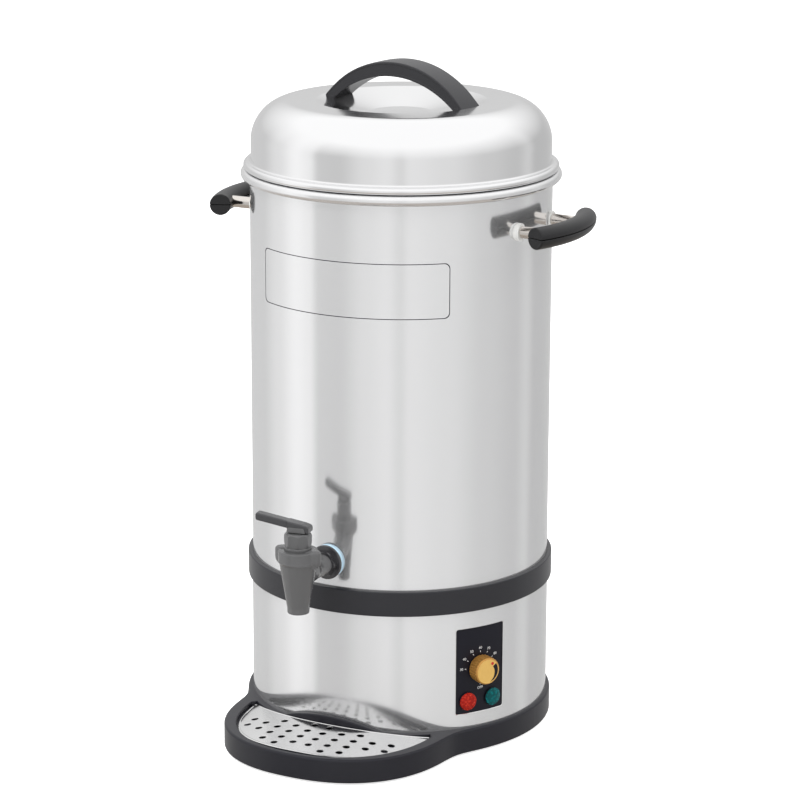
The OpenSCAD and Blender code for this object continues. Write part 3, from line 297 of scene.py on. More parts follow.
def lampLens(name, deep, bright):
    lens = Finish(name)
    facets = lens.node("ShaderNodeTexVoronoi", None, {"Vector": lens.place(), "Scale": 420.0})
    shade = lens.mixed((facets * 1.6).clipped(0.0, 1.0), bright, deep)
    return lens.surface(colour=shade, rough=0.22, shine=0.14, coat=0.05, coatRough=0.05,
                        normal=lens.bump(facets, 0.0004))


def makeFinishes():
    return {
        "base_plastic": mouldedPlastic("basePlastic", (0.012, 0.012, 0.017), 0.33, shine=0.3),
        "band_plastic": mouldedPlastic("bandPlastic", (0.017, 0.017, 0.021), 0.3, shine=0.38),
        "strap_plastic": mouldedPlastic("strapPlastic", (0.018, 0.018, 0.021), 0.34, shine=0.46),
        "grip_plastic": mouldedPlastic("gripPlastic", (0.009, 0.009, 0.01), 0.36, 0.00002, shine=0.36),
        "panel_black": mouldedPlastic("panelBlack", (0.007, 0.007, 0.013), 0.38, shine=0.22),
        "gland_plastic": mouldedPlastic("glandPlastic", (0.02, 0.02, 0.021), 0.5),
        "foot_rubber": mouldedPlastic("footRubber", (0.018, 0.018, 0.018), 0.75, 0.00004),
        "tap_plastic": mouldedPlastic("tapPlastic", (0.098, 0.098, 0.1), 0.2, 0.00001, 900.0, 0.42, 0.2),
        "insulator": mouldedPlastic("insulator", (0.72, 0.68, 0.58), 0.5),
        "washer_nylon": mouldedPlastic("washerNylon", (0.82, 0.82, 0.8), 0.3),
        "seal_white": mouldedPlastic("sealWhite", (0.8, 0.8, 0.78), 0.45),
        "seal_blue": mouldedPlastic("sealBlue", (0.52, 0.72, 0.86), 0.35),
        "body_steel": polishedSteel("bodySteel", (0.785, 0.785, 0.79), 0.12, (160.0, (1, 1, 0.04)),
                                    metal=0.85),
        "lid_steel": polishedSteel("lidSteel", (0.83, 0.83, 0.835), 0.13, (140.0, (1, 1, 1)), 0.00018),
        "drip_steel": polishedSteel("dripSteel", (0.76, 0.76, 0.76), 0.17, (160.0, (1, 0.05, 1)), 0.00005),
        "sheet_steel": plainMetal("sheetSteel", (0.6, 0.6, 0.6), 0.35),
        "fastener_steel": plainMetal("fastenerSteel", (0.66, 0.66, 0.67), 0.28),
        "bezel_chrome": plainMetal("bezelChrome", (0.8, 0.8, 0.8), 0.16),
        "sleeve_chrome": plainMetal("sleeveChrome", (0.74, 0.7, 0.66), 0.12),
        "heater_alloy": plainMetal("heaterAlloy", (0.7, 0.71, 0.72), 0.42),
        "element_sheath": plainMetal("elementSheath", (0.3, 0.25, 0.2), 0.45),
        "bulb_copper": plainMetal("bulbCopper", (0.8, 0.42, 0.27), 0.3),
        "knob_gold": plainMetal("knobGold", (0.85, 0.57, 0.2), 0.25),
        "lens_red": lampLens("lensRed", (0.3, 0.008, 0.004), (0.58, 0.035, 0.014)),
        "lens_green": lampLens("lensGreen", (0.0, 0.075, 0.08), (0.0, 0.18, 0.19)),
    }


finishes = makeFinishes()
slotOf = {entry["node"]: entry["material_slot"] for entry in frame["record"]["subparts"]}
for name, item in nodes.items():
    finish = finishes[slotOf[name]]
    if item.data.materials:
        for place in range(len(item.data.materials)):
            item.data.materials[place] = finish
    else:
        item.data.materials.append(finish)
print("finishes on", len(slotOf), "nodes")


# Mesh helpers: points are millimetres until a piece is made
smooth = 256  # sides of a large round piece


def softened(points, closed=False, steps=4):
    made = []
    count = len(points)
    for place, point in enumerate(points):
        here = Vector(point[:2])
        radius = point[2] if len(point) > 2 else 0
        if not radius or (not closed and place in (0, count - 1)):
            made.append((here.x, here.y))
            continue
        back = (Vector(points[place - 1][:2]) - here).normalized()
        ahead = (Vector(points[(place + 1) % count][:2]) - here).normalized()
        half = back.angle(ahead) / 2
        centre = here + (back + ahead).normalized() * (radius / math.sin(half))
        start = here + back * (radius / math.tan(half)) - centre
        end = here + ahead * (radius / math.tan(half)) - centre
        swing = math.atan2(start.x * end.y - start.y * end.x, start.dot(end))
        for step in range(steps + 1):
            turn = swing * step / steps
            made.append((centre.x + start.x * math.cos(turn) - start.y * math.sin(turn),
                         centre.y + start.x * math.sin(turn) + start.y * math.cos(turn)))
    return made


def skin(mesh, rings, closed=True, loop=False, first=False, last=False):
    made = [[mesh.verts.new(Vector(point) * mm) for point in ring] for ring in rings]
    pairs = list(zip(made, made[1:]))
    if loop:
        pairs.append((made[-1], made[0]))
    for low, high in pairs:
        count = max(len(low), len(high))
        for k in range(count if closed else count - 1):
            corners = list(dict.fromkeys([low[k % len(low)], low[(k + 1) % len(low)],
                                          high[(k + 1) % len(high)], high[k % len(high)]]))
            if len(corners) > 2:
                mesh.faces.new(corners)
    if first:
        mesh.faces.new(made[0])
    if last:
        mesh.faces.new(made[-1])
    return made


def ovalRing(wide, deep, height, middle=(0, 0), sides=48):
    turns = [2 * math.pi * k / sides for k in range(sides)]
    return [(middle[0] + wide * math.cos(t), middle[1] + deep * math.sin(t), height) for t in turns]


def circleRing(radius, height, middle=(0, 0), sides=48):
    return ovalRing(radius, radius, height, middle, sides)


def turned(profile, sides, mesh=None):
    mesh = mesh or bmesh.new()
    skin(mesh, [circleRing(radius, height, sides=sides) if radius > 0.001 else [(0, 0, height)]
                for radius, height in profile])
    return mesh


def cleaned(mesh, near=0.000001):
    bmesh.ops.remove_doubles(mesh, verts=mesh.verts, dist=near)
    return mesh


def between(first, second, share):
    return tuple(a + (b - a) * share for a, b in zip(first, second))


def finerLoop(loop, counts):
    made = []
    for spot, ahead, count in zip(loop, loop[1:] + loop[:1], counts):
        made += [between(spot, ahead, k / count) for k in range(count)]
    return made


def roundedLoop(half, tall, soft, steps=6):
    corners = [(half, tall, soft), (-half, tall, soft), (-half, -tall, soft), (half, -tall, soft)]
    return softened(corners, closed=True, steps=steps)


def around(angle, radius, height):
    return (radius * math.sin(angle), -radius * math.cos(angle), height)


def standing(height, turn=0.0, out=0.0):
    return Matrix.Translation((0, -out * mm, height * mm)) @ Matrix.Rotation(math.radians(turn), 4, "Z")


def facing(azimuth, height, out=0.0):
    turn = Matrix.Rotation(math.radians(azimuth), 4, "Z")
    return turn @ Matrix.Translation((0, -out * mm, height * mm)) @ Matrix.Rotation(math.pi / 2, 4, "X")


def makePiece(name, mesh, slotName, body, stands=(), place=None, sharp=35, bevel=0.0, finish=None):
    if place:
        mesh.transform(place)
    bmesh.ops.recalc_face_normals(mesh, faces=mesh.faces)
    data = bpy.data.meshes.new(name)
    mesh.to_mesh(data)
    mesh.free()
    data.materials.append(finish or finishes[slotName])
    data.shade_smooth()
    data.set_sharp_from_angle(angle=math.radians(sharp))
    piece = bpy.data.objects.new(name, data)
    bpy.context.scene.collection.objects.link(piece)
    if bevel:
        edge = piece.modifiers.new("edges", "BEVEL")
        edge.width = bevel * mm
        edge.segments = 2
        edge.limit_method = "ANGLE"
        edge.angle_limit = math.radians(sharp)
    even = piece.modifiers.new("shading", "WEIGHTED_NORMAL")
    even.keep_sharp = True
    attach(piece, body)
    if stands:
        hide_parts(*stands)


# A node's own shape with its hard edges eased, for the small turned and moulded parts
def easedCopy(node, bevel):
    mesh = bmesh.new()
    mesh.from_mesh(nodes[node].data)
    cleaned(mesh, 0.000002)
    bmesh.ops.dissolve_limit(mesh, angle_limit=math.radians(0.6), verts=mesh.verts, edges=mesh.edges)
    makePiece("eased_" + node, mesh, slotOf[node], nodes[node]["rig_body"], [node], bevel=bevel)


# Tank: wall, pressed floor and rolled rim as one continuous sheet
tank = {"r": 140.0, "wall": 1.0, "skirt": 150.55, "floor": 165.0, "edge": 5.3, "rim": 527.0, "roll": 9.4,
        "levels": (220, 300, 380, 460), "middle": 90}


def makeTank():
    inner = tank["r"] - tank["wall"]
    half = tank["roll"] / 2
    middle = (inner + half, tank["rim"] - half)

    def curl(radius, start, end, steps=28):
        turns = [math.radians(start + (end - start) * k / steps) for k in range(steps + 1)]
        return [(middle[0] + radius * math.cos(t), middle[1] + radius * math.sin(t)) for t in turns]

    low = tank["floor"]
    bend = tank["edge"]
    profile = [(0, low), (inner - bend, low), (inner - 0.3 * bend, low + 0.1 * bend),
               (inner, low + 0.5 * bend), (inner, tank["skirt"]), (tank["r"], tank["skirt"])]
    profile += [(tank["r"], height) for height in tank["levels"]]
    profile += curl(half - tank["wall"], 180, -120) + curl(half, -120, 180)
    profile += [(inner, height) for height in reversed(tank["levels"])]
    for step in range(7):
        turn = -math.pi / 2 * step / 6
        profile.append((inner - bend + bend * math.cos(turn), low + 1 + bend + bend * math.sin(turn)))
    profile += [(tank["middle"], low + 1), (0, low + 1)]
    stands = ["tank", "tank_rim", "tank_floor"]
    makePiece("tankShell", turned(profile, smooth), "body_steel", "kettle", stands)


# Lid: pressed shoulder, dished middle and rounded flange
lid = {"base": 527.3, "flangeR": 145.8, "wallR": 138.8, "wallH": 25.8, "crownH": 62.2, "crownR": 105.0,
       "dishR": 78.0, "floorR": 27.0, "floorH": 51.2, "power": 1.91, "sheet": 0.9, "bead": 3.4, "beadH": 3.1,
       "crest": 96}


def makeLid():
    wall = lid["wallR"]
    bead = lid["bead"]
    points = [(lid["flangeR"] - 2.2, 0.5), (lid["flangeR"] - 0.9, 0.8)]
    for step in range(9):
        turn = math.radians(-30 + 115 * step / 8)
        points.append((lid["flangeR"] - bead + bead * math.cos(turn), lid["beadH"] + bead * math.sin(turn)))
    points += [(lid["flangeR"] - 4.6, 6.5), (wall + 1.5, 6.7), (wall + 0.6, 7.2), (wall + 0.1, 8.2),
               (wall, 9.6), (wall, 17.0)]
    wide = wall - lid["crownR"]
    rise = lid["crownH"] - lid["wallH"]
    for step in range(41):
        turn = math.pi / 2 * step / 40
        points.append((lid["crownR"] + wide * max(math.cos(turn), 0) ** (2 / lid["power"]),
                       lid["wallH"] + rise * math.sin(turn) ** (2 / lid["power"])))
    points += softened([(lid["crest"], lid["crownH"]), (lid["dishR"] + 1.0, lid["crownH"] + 0.05, 2.2),
                        (lid["floorR"], lid["floorH"] + 0.1, 9.0), (0, lid["floorH"])], steps=8)
    inside = []
    for place, (radius, height) in enumerate(points):
        before = Vector(points[max(place - 1, 0)])
        after = Vector(points[min(place + 1, len(points) - 1)])
        along = (after - before).normalized()
        inside.append((max(radius - lid["sheet"] * along.y, 0), height + lid["sheet"] * along.x))
    inside[-1] = (0, lid["floorH"] - lid["sheet"])
    mesh = cleaned(turned(points + inside[::-1], smooth))
    bmesh.ops.bridge_loops(mesh, edges=[edge for edge in mesh.edges if edge.is_boundary])
    makePiece("lidShell", mesh, "lid_steel", "lid", ["lid_shell"], standing(lid["base"]))


# Trim band between the tank and the housing
band = {"low": 137.8, "high": 161.0, "r": 144.2, "inner": 140.7, "snug": 140.05, "rib": 136.0,
        "ribLow": 148.8, "ribHigh": 150.0, "soft": 1.1}


def makeBand():
    profile = softened([(band["inner"], band["low"], 0.3), (band["r"], band["low"], band["soft"]),
                        (band["r"], band["high"], band["soft"]), (band["snug"], band["high"], 0.3),
                        (band["snug"], band["ribHigh"]), (band["rib"], band["ribHigh"]),
                        (band["rib"], band["ribLow"]), (band["inner"], band["ribLow"])], closed=True)
    mesh = cleaned(turned(profile + profile[:1], smooth))
    makePiece("trimBand", mesh, "band_plastic", "kettle", ["trim_band"])


# Base: round part and drip lobe in one moulding, with the well, the dam and the ribs. The lobe's front is at
# reach, half is its half width, square how square it is and soft how widely it blends into the round part.
base = {"r": 144.0, "deck": 24.5, "lift": 2.0, "wall": 4.5, "reach": 218.3, "half": 107.7, "square": 2.3,
        "soft": 12.6, "round": 2.4, "rim": 7.0, "side": 13.2, "well": 10.0, "ledge": 4.5, "back": 147.2,
        "damIn": 140.9, "damOut": 146.4, "damH": 11.9, "damArch": 130.0, "damRoot": 12, "span": 38.5,
        "ease": 0.3, "shift": 1.65, "hub": 136.5, "thick": 4, "ribs": (-32.0, 0.0, 32.0), "steps": 720}
# Drip plate: bow is the radius of its curve, fall its slope to the front in degrees, lip its folded edge
plate = {"bow": 450.0, "fall": 3.5, "front": 212.3, "high": 24.9, "sheet": 1.0, "lip": 3.0, "lipW": 2.2,
         "hole": 6.4, "across": 16.0, "deep": 13.5, "grid": 6.0, "row": 5.2}


# Radius of the lobe's rounded outline at an angle from the front, found by halving
def lobeRadius(angle, half, rim=0.0, drawn=0.0):
    middle = base["reach"] / 2 - base["shift"]
    length = base["reach"] - middle - rim - drawn
    low = 1.0
    high = base["reach"] + 20
    for _ in range(30):
        r = (low + high) / 2
        level = abs(r * math.sin(angle) / half) ** base["square"]
        level += abs((r * math.cos(angle) - middle) / length) ** base["square"]
        low, high = (low, r) if level > 1 else (r, high)
    return (low + high) / 2


def outlineRadius(angle):
    least = base["r"] + base["ease"]
    if abs(angle) > math.pi / 2:
        return least
    lobe = lobeRadius(angle, base["half"])
    gap = lobe - base["r"]
    return max(least, (lobe + base["r"] + math.hypot(gap, base["soft"])) / 2)


def plateRadius(angle, drawn):
    return lobeRadius(angle, base["half"] - base["side"] - drawn, base["rim"], drawn)


def plateTop(x, y, drop=0.0):
    bow = plate["bow"]
    slope = (plate["front"] + y) * math.tan(math.radians(plate["fall"]))
    return plate["high"] + slope - (bow - math.sqrt(bow * bow - x * x)) - drop


def crescentLoop(drawn, back, span, height, steps=72):
    turns = [math.radians(-span + 2 * span * k / steps) for k in range(steps + 1)]
    front = [around(t, plateRadius(t, drawn), 0) for t in turns]
    rear = [around(t, back, 0) for t in reversed(turns)]
    return [(x, y, height(x, y) if callable(height) else height) for x, y, _ in front + rear]


def insetRing(ring, distance):
    made = []
    for k, point in enumerate(ring):
        ahead = ring[(k + 1) % len(ring)]
        behind = ring[k - 1]
        along = Vector((ahead[0] - behind[0], ahead[1] - behind[1])).normalized()
        made.append((point[0] - distance * along.y, point[1] + distance * along.x))
    return made


def makeBase():
    mesh = bmesh.new()
    turns = [2 * math.pi * k / base["steps"] - math.pi for k in range(base["steps"])]
    ring = [around(t, outlineRadius(t), 0)[:2] for t in turns]
    deck = base["deck"]
    bend = base["round"]
    lift = base["lift"]
    back = base["back"]
    span = base["span"]
    ceiling = deck - base["thick"]

    def shelfTop(x, y):
        return min(plateTop(x, y, plate["lip"] + 0.3), deck - 0.9)

    levels = [(base["wall"], ceiling), (base["wall"], lift + 0.6), (base["wall"] - 0.6, lift),
              (1.0, lift), (0.3, lift + 0.3), (0, lift + 1), (0, deck - bend)]
    for step in range(1, 9):
        turn = math.pi / 2 * step / 8
        levels.append((bend - bend * math.cos(turn), deck - bend + bend * math.sin(turn)))
    outside = skin(mesh, [[(x, y, height) for x, y in insetRing(ring, drawn)] for drawn, height in levels])
    hub = skin(mesh, [[around(t, base["hub"], height) for t in turns[::4]] for height in (deck, ceiling)])
    well = skin(mesh, [crescentLoop(-1.9, back - 0.9, span + 0.6, deck),
                       crescentLoop(-1.2, back - 0.5, span + 0.3, deck - 0.6),
                       crescentLoop(-1.2, back - 0.5, span + 0.3, shelfTop),
                       crescentLoop(base["ledge"], back + 0.7, span - 1, shelfTop),
                       crescentLoop(base["ledge"] + 0.6, back + 1.2, span - 1.2, base["well"])], last=True)
    mesh.edges.ensure_lookup_table()
    for loops in ([outside[-1], hub[0], well[0]], [outside[0], hub[-1]]):
        border = [mesh.edges.get((ring[k - 1], ring[k])) for ring in loops for k in range(len(ring))]
        border = [edge for edge in border if edge]
        bmesh.ops.triangle_fill(mesh, use_beauty=True, use_dissolve=False, edges=border)
    addDam(mesh)
    addRibs(mesh)
    makePiece("baseMoulding", mesh, "base_plastic", "kettle", ["base"], sharp=28)


def addDam(mesh):
    arch = base["damArch"]
    low = base["deck"] - base["damRoot"]
    reach = math.degrees(math.asin(math.sqrt(arch ** 2 - (arch - base["damH"]) ** 2) / base["damOut"])) + 1
    rings = []
    for k in range(97):
        t = math.radians(-reach + 2 * reach * k / 96)
        x = base["damOut"] * math.sin(t)
        top = max(base["damH"] - arch + math.sqrt(arch ** 2 - x * x), -0.4)
        soft = min(1.3, max(top, 0) * 0.45 + 0.05)
        high = base["deck"] + top
        section = softened([(base["damIn"], low), (base["damOut"], low),
                            (base["damOut"], high, soft), (base["damIn"], high, soft)], closed=True)
        rings.append([around(t, radius, height) for radius, height in section])
    skin(mesh, rings, first=True, last=True)


def addRibs(mesh):
    for x in base["ribs"]:
        front = -plate["front"] + 5
        back = -math.sqrt(base["back"] ** 2 - x * x)
        rings = []
        for k in range(13):
            y = front + (back - front) * k / 12
            if math.hypot(x, y) > plateRadius(math.atan2(x, -y), 4):
                continue
            top = plateTop(x, y, plate["sheet"] + 0.3)
            low = base["well"] - 0.5
            rings.append([(x - 1.5, y, low), (x + 1.5, y, low), (x + 1.0, y, top), (x - 1.0, y, top)])
        skin(mesh, rings, first=True, last=True)


# The drip plate's bowed sheet with its drain holes, filled between the borders with even triangles
def within(loop, x, y):
    odd = False
    for place, (fromX, fromY) in enumerate(loop):
        toX, toY = loop[place - 1]
        if (fromY > y) != (toY > y) and x < fromX + (toX - fromX) * (y - fromY) / (toY - fromY):
            odd = not odd
    return odd


def fillSheet(mesh, borders, holes, radius, drop):
    spots = [Vector((vert.co.x / mm, vert.co.y / mm)) for ring in borders for vert in ring]
    links = []
    start = 0
    for ring in borders:
        links += [(start + k, start + (k + 1) % len(ring)) for k in range(len(ring))]
        start += len(ring)
    edge = [tuple(spot) for spot in spots[:len(borders[0])]]

    def solid(x, y, room):
        if not within(edge, x, y):
            return False
        return min(math.hypot(x - holeX, y - holeY) for holeX, holeY in holes) > radius + room

    for row in range(20, 44):
        for column in range(-20, 21):
            x = plate["grid"] * (column + 0.5 * (row % 2))
            y = -plate["row"] * row
            if solid(x, y, 1.6) and min(math.hypot(x - spot[0], y - spot[1]) for spot in edge) > 2.0:
                spots.append(Vector((x, y)))
    points, _, faces, _, _, _ = delaunay_2d_cdt(spots, links, [], 0, 0.0001)
    made = [mesh.verts.new(Vector((x, y, plateTop(x, y) - drop)) * mm) for x, y in points]
    for face in faces:
        middle = sum((points[k] for k in face), Vector((0, 0))) / 3
        if solid(middle.x, middle.y, -0.0115 * radius):
            mesh.faces.new([made[k] for k in face])


def drainHoles():
    holes = []
    for column in range(-7, 7):
        for row in range(6):
            across = (column + 0.5) * plate["across"]
            odd = (column if column >= 0 else -column - 1) % 2
            out = base["damOut"] + 6 + (row + 0.5 * odd) * plate["deep"]
            radius = math.hypot(across, out)
            turn = math.atan2(across, out)
            if radius < base["back"] + 0.7 * plate["hole"] or abs(math.degrees(turn)) > base["span"] - 3:
                continue
            if radius > plateRadius(turn, plate["lipW"]) - plate["hole"]:
                continue
            holes.append((across, -out))
    return holes


def makeDripPlate():
    mesh = bmesh.new()
    bore = plate["hole"] / 2
    sheet = plate["sheet"]
    lip = plate["lip"]
    wide = plate["lipW"]
    # How far in, how far back and how high each turn of the edge lies
    rolls = [(1.6, 1.6, -sheet), (1.3, 1.3, -sheet - 0.4), (1.0, 1.0, -lip + 0.2), (0.8, 0.8, -lip),
             (0.35, 0.2, -lip), (0.0, 0.0, -lip + 0.3), (0.0, 0.0, -0.2), (0.12, 0.1, 0.22),
             (0.5, 0.2, 0.42), (1.1, 0.3, 0.5), (1.7, 0.4, 0.4), (wide, 0.6, 0.08), (wide + 0.5, 0.9, 0.0)]
    rings = [crescentLoop(drawn, base["back"] + rear, base["span"] - 0.35 * rear,
                          lambda x, y: plateTop(x, y) + lift, 96) for drawn, rear, lift in rolls]
    made = skin(mesh, rings)
    holes = drainHoles()
    tops = [made[-1]]
    lows = [made[0]]
    for spot in holes:
        edges = [(bore + 0.5, 0.0), (bore + 0.12, -0.14), (bore, -0.5), (bore, -sheet)]
        pierced = skin(mesh, [[(x, y, plateTop(x, y) + sink) for x, y, _ in circleRing(radius, 0, spot, 28)]
                              for radius, sink in edges])
        tops.append(pierced[0])
        lows.append(pierced[-1])
    fillSheet(mesh, tops, holes, bore + 0.5, 0.0)
    fillSheet(mesh, lows, holes, bore, sheet)
    makePiece("dripSheet", cleaned(mesh, 0.000002), "drip_steel", "drip_plate", ["drip_plate"], sharp=40)


makeTank()
makeLid()
makeBand()
print("tank, lid and band done")
makeBase()
makeDripPlate()
print("base and drip plate done")


# Lid strap: arch of even width whose feet lie on the dish, with a fine step round its sides
strap = {"turn": 83.5, "wide": 14.7, "topR": 96.0, "topC": 2.2, "lowR": 98.0, "lowC": -13.1, "reach": 75.9,
         "soft": 1.5, "step": 0.35, "edge": 2.6, "crown": 0.35}


def dishHeight(radius):
    slope = (lid["crownH"] - 2 - lid["floorH"]) / (lid["dishR"] - lid["floorR"])
    return lid["floorH"] + slope * max(radius - lid["floorR"], 0)


def strapRing(along):
    top = strap["topC"] + math.sqrt(strap["topR"] ** 2 - along ** 2)
    low = max(strap["lowC"] + math.sqrt(strap["lowR"] ** 2 - along ** 2), dishHeight(abs(along)) + 0.3)
    tall = max(top - low, 0.5)
    fine = min(1.0, tall / 9)
    wide = strap["wide"]
    soft = strap["soft"] * fine
    edge = strap["edge"] * fine
    step = strap["step"] * fine
    side = [(wide - 0.4 * fine, 0), (wide, 0.6 * fine), (wide, edge - 0.3 * fine), (wide - step, edge),
            (wide - step, tall - edge), (wide, tall - edge + 0.3 * fine)]
    for k in range(6):
        turn = math.pi / 2 * k / 5
        side.append((wide - soft + soft * math.cos(turn), tall - soft + soft * math.sin(turn)))
    side += [(wide * share, tall + strap["crown"] * (1 - share ** 2)) for share in (0.75, 0.4)]
    section = side + [(0, tall + strap["crown"])] + [(-across, rise) for across, rise in reversed(side)]
    ring = []
    for across, rise in section:
        height = low + rise
        ring.append((across, along, max(height, dishHeight(math.hypot(across, along)) + 0.15)))
    return ring


def makeStrap():
    mesh = bmesh.new()
    count = 72
    places = [strap["reach"] * math.sin(math.pi / 2 * (2 * k / count - 1)) for k in range(count + 1)]
    skin(mesh, [strapRing(along) for along in places], first=True, last=True)
    place = standing(lid["base"], strap["turn"])
    makePiece("lidStrap", mesh, "strap_plastic", "lid", ["lid_handle"], place, sharp=32)


# Side handles: two moulded halves with a fine seam and softened ends, curved to the radius arc
grip = {"z": 485.0, "r": 10.0, "arc": 132.0, "reach": 174.5, "half": 24.5, "seam": 1.0, "open": 0.5}


def makeGrip(side, upper, name, node):
    mesh = bmesh.new()
    middle = grip["reach"] - grip["arc"]
    sign = 1 if upper else -1
    full = math.radians(grip["half"])
    ends = [(0.0, 1.3), (0.2, 0.7), (0.6, 0.25), (1.3, 0.0)]
    stations = [(-full + out / grip["arc"], drawn) for out, drawn in ends]
    stations += [(-full + 2 * full * k / 40, 0.0) for k in range(1, 40)]
    stations += [(full - out / grip["arc"], drawn) for out, drawn in reversed(ends)]
    rings = []
    for turn, drawn in stations:
        radius = grip["r"] - drawn
        seam = grip["seam"]
        part = 0.05 + grip["open"] * drawn / 1.3
        first = math.degrees(math.asin((grip["open"] + 0.2) / radius))
        section = [(radius - seam, part), (radius - 0.3, max(grip["open"] - 0.1, part))]
        for k in range(25):
            bend = math.radians(first + (180 - 2 * first) * k / 24)
            section.append((radius * math.cos(bend), radius * math.sin(bend)))
        section += [(-radius + 0.3, max(grip["open"] - 0.1, part)), (-radius + seam, part)]
        rings.append([(side * (middle + (grip["arc"] + out) * math.cos(turn)),
                       (grip["arc"] + out) * math.sin(turn), grip["z"] + sign * rise)
                      for out, rise in section])
    skin(mesh, rings, first=True, last=True)
    makePiece(name, mesh, "grip_plastic", "kettle", [node], sharp=40)


def makeHandles():
    for side, word in ((-1, "left"), (1, "right")):
        makeGrip(side, True, word + "GripTop", word + "_grip_top")
        makeGrip(side, False, word + "GripBottom", word + "_grip_bottom")


# Tap: one blended moulding for spout, collar, ears and neck, then bonnet, lever, nut and seal
tap = {"out": 195.5, "neck": 185.0, "mouth": 152.0, "mouthR": 10.0, "boreR": 7.8, "bore": 171.5,
       "shoulder": 199.6, "shoulderR": 17.2, "collar": 201.2, "collarR": 18.0, "top": 211.5,
       "ear": 14.5, "earX": 8.5, "earY": 6.6, "voxel": 0.55, "rounds": 5,
       "bonnetFlat": 11.6, "bonnetR": 12.6, "bonnetTop": 227.5, "bonnetTurn": 28.0,
       "pin": 232.0, "leverTurn": -80.0, "hub": 6.7, "hubBack": 8.6, "hubFront": 8.8, "hubSoft": 1.2,
       "nutFlat": 11.0, "nutR": 16.0, "nutBore": 8.2, "sealIn": 138.6, "sealOut": 143.4, "sealR": 15.2}
# Side outline of the lever: along it from the pin, low edge, high edge
leverSide = [(-12.0, -2.6, 0.4), (-11.7, -3.3, 1.6), (-11.1, -3.7, 2.3), (-9.8, -3.5, 3.0),
             (-6.0, -2.9, 4.0), (0.0, -1.9, 5.0), (6.4, -0.8, 6.1), (8.6, -0.4, 6.5), (9.4, -0.2, 6.5),
             (12.5, 0.3, 7.1), (20.0, 1.55, 8.35), (30.0, 3.2, 10.0), (36.6, 4.3, 11.1),
             (38.0, 4.7, 11.1), (38.8, 5.6, 10.3), (39.0, 6.8, 9.2)]


def fused(name, mesh, voxel, rounds):
    bmesh.ops.recalc_face_normals(mesh, faces=mesh.faces)
    data = bpy.data.meshes.new(name)
    mesh.to_mesh(data)
    mesh.free()
    lump = bpy.data.objects.new(name, data)
    bpy.context.scene.collection.objects.link(lump)
    melt = lump.modifiers.new("melt", "REMESH")
    melt.mode = "VOXEL"
    melt.voxel_size = voxel * mm
    calm = lump.modifiers.new("calm", "SMOOTH")
    calm.factor = 0.5
    calm.iterations = rounds
    made = bmesh.new()
    made.from_mesh(lump.evaluated_get(bpy.context.evaluated_depsgraph_get()).to_mesh())
    bpy.data.objects.remove(lump)
    bpy.data.meshes.remove(data)
    return made


def makeTapBody():
    mesh = bmesh.new()
    mouth = tap["mouthR"]
    shoulder = tap["shoulderR"]
    collar = tap["collarR"]
    # Spout and collar as one turned shape, then the ears, then the arm to the tank
    profile = softened([(0, tap["bore"]), (tap["boreR"], tap["bore"]), (tap["boreR"], tap["mouth"], 0.6),
                        (mouth, tap["mouth"], 0.9), (mouth + 0.1, 157.0),
                        (shoulder - 0.5, tap["shoulder"] - 1.6), (shoulder - 0.2, tap["shoulder"]),
                        (collar + 0.5, tap["collar"] - 0.6), (collar, tap["collar"] + 1.2),
                        (collar, tap["top"], 1.2), (0, tap["top"])])
    turned(profile, 96, mesh)
    levels = [(0.3, 195.0), (0.62, 196.4), (0.86, 198.6), (0.97, 201.0), (1.0, 203.5), (1.0, 209.6),
              (0.95, 211.2), (0.8, 212.3), (0.5, 212.8)]
    for side in (-1, 1):
        wide = side * tap["earX"]
        spot = (side * tap["ear"], 0)
        skin(mesh, [ovalRing(wide * share, tap["earY"] * share, height, spot, 36)
                    for share, height in levels], first=True, last=True)
    bmesh.ops.translate(mesh, verts=mesh.verts, vec=(0, -tap["out"] * mm, 0))
    arm = [(150.9, 10.2, 9.6, 185.0), (158, 10.0, 9.5, 185.0), (166, 10.3, 9.8, 185.4),
           (173, 11.4, 10.8, 186.6), (180, 13.4, 12.6, 188.4), (188, 14.2, 13.2, 189.4)]
    skin(mesh, [[(x, -out, z) for x, z, _ in ovalRing(wide, high, 0, (0, level), 48)]
                for out, wide, high, level in arm], first=True, last=True)
    melted = fused("tapLump", mesh, tap["voxel"], tap["rounds"])
    makePiece("tapBody", melted, "tap_plastic", "kettle", ["tap_body"], sharp=120)


def flatted(flat, limit, height, count, turn):
    ring = []
    for k in range(count * 12):
        angle = 2 * math.pi * k / (count * 12)
        off = angle % (2 * math.pi / count) - math.pi / count
        radius = min(flat / math.cos(off), limit)
        way = angle + math.radians(turn)
        ring.append((radius * math.cos(way), radius * math.sin(way), height))
    return ring


def makeBonnet():
    mesh = bmesh.new()
    flat = tap["bonnetFlat"]
    low = tap["top"] + 0.05
    high = tap["bonnetTop"]
    radius = tap["bonnetR"]
    levels = [(flat, low), (radius, low), (radius, low + 2.5), (radius - 0.4, low + 3.0),
              (flat - 0.1, low + 3.1), (flat + 0.1, low + 3.4), (flat + 0.55, low + 5.2),
              (flat + 0.9, low + 7.5), (flat + 0.96, high - 3.0), (flat + 0.6, high - 1.8),
              (flat - 0.1, high - 0.8), (flat - 1.0, high), (4.0, high)]
    turn = tap["bonnetTurn"] - 90
    rings = [flatted(20 if height < low + 3.05 else flat, limit, height, 8, turn)
             for limit, height in levels]
    skin(mesh, rings, first=True, last=True)
    makePiece("tapBonnet", mesh, "tap_plastic", "kettle", ["tap_bonnet"], standing(0, out=tap["out"]),
              sharp=14, bevel=0.18)


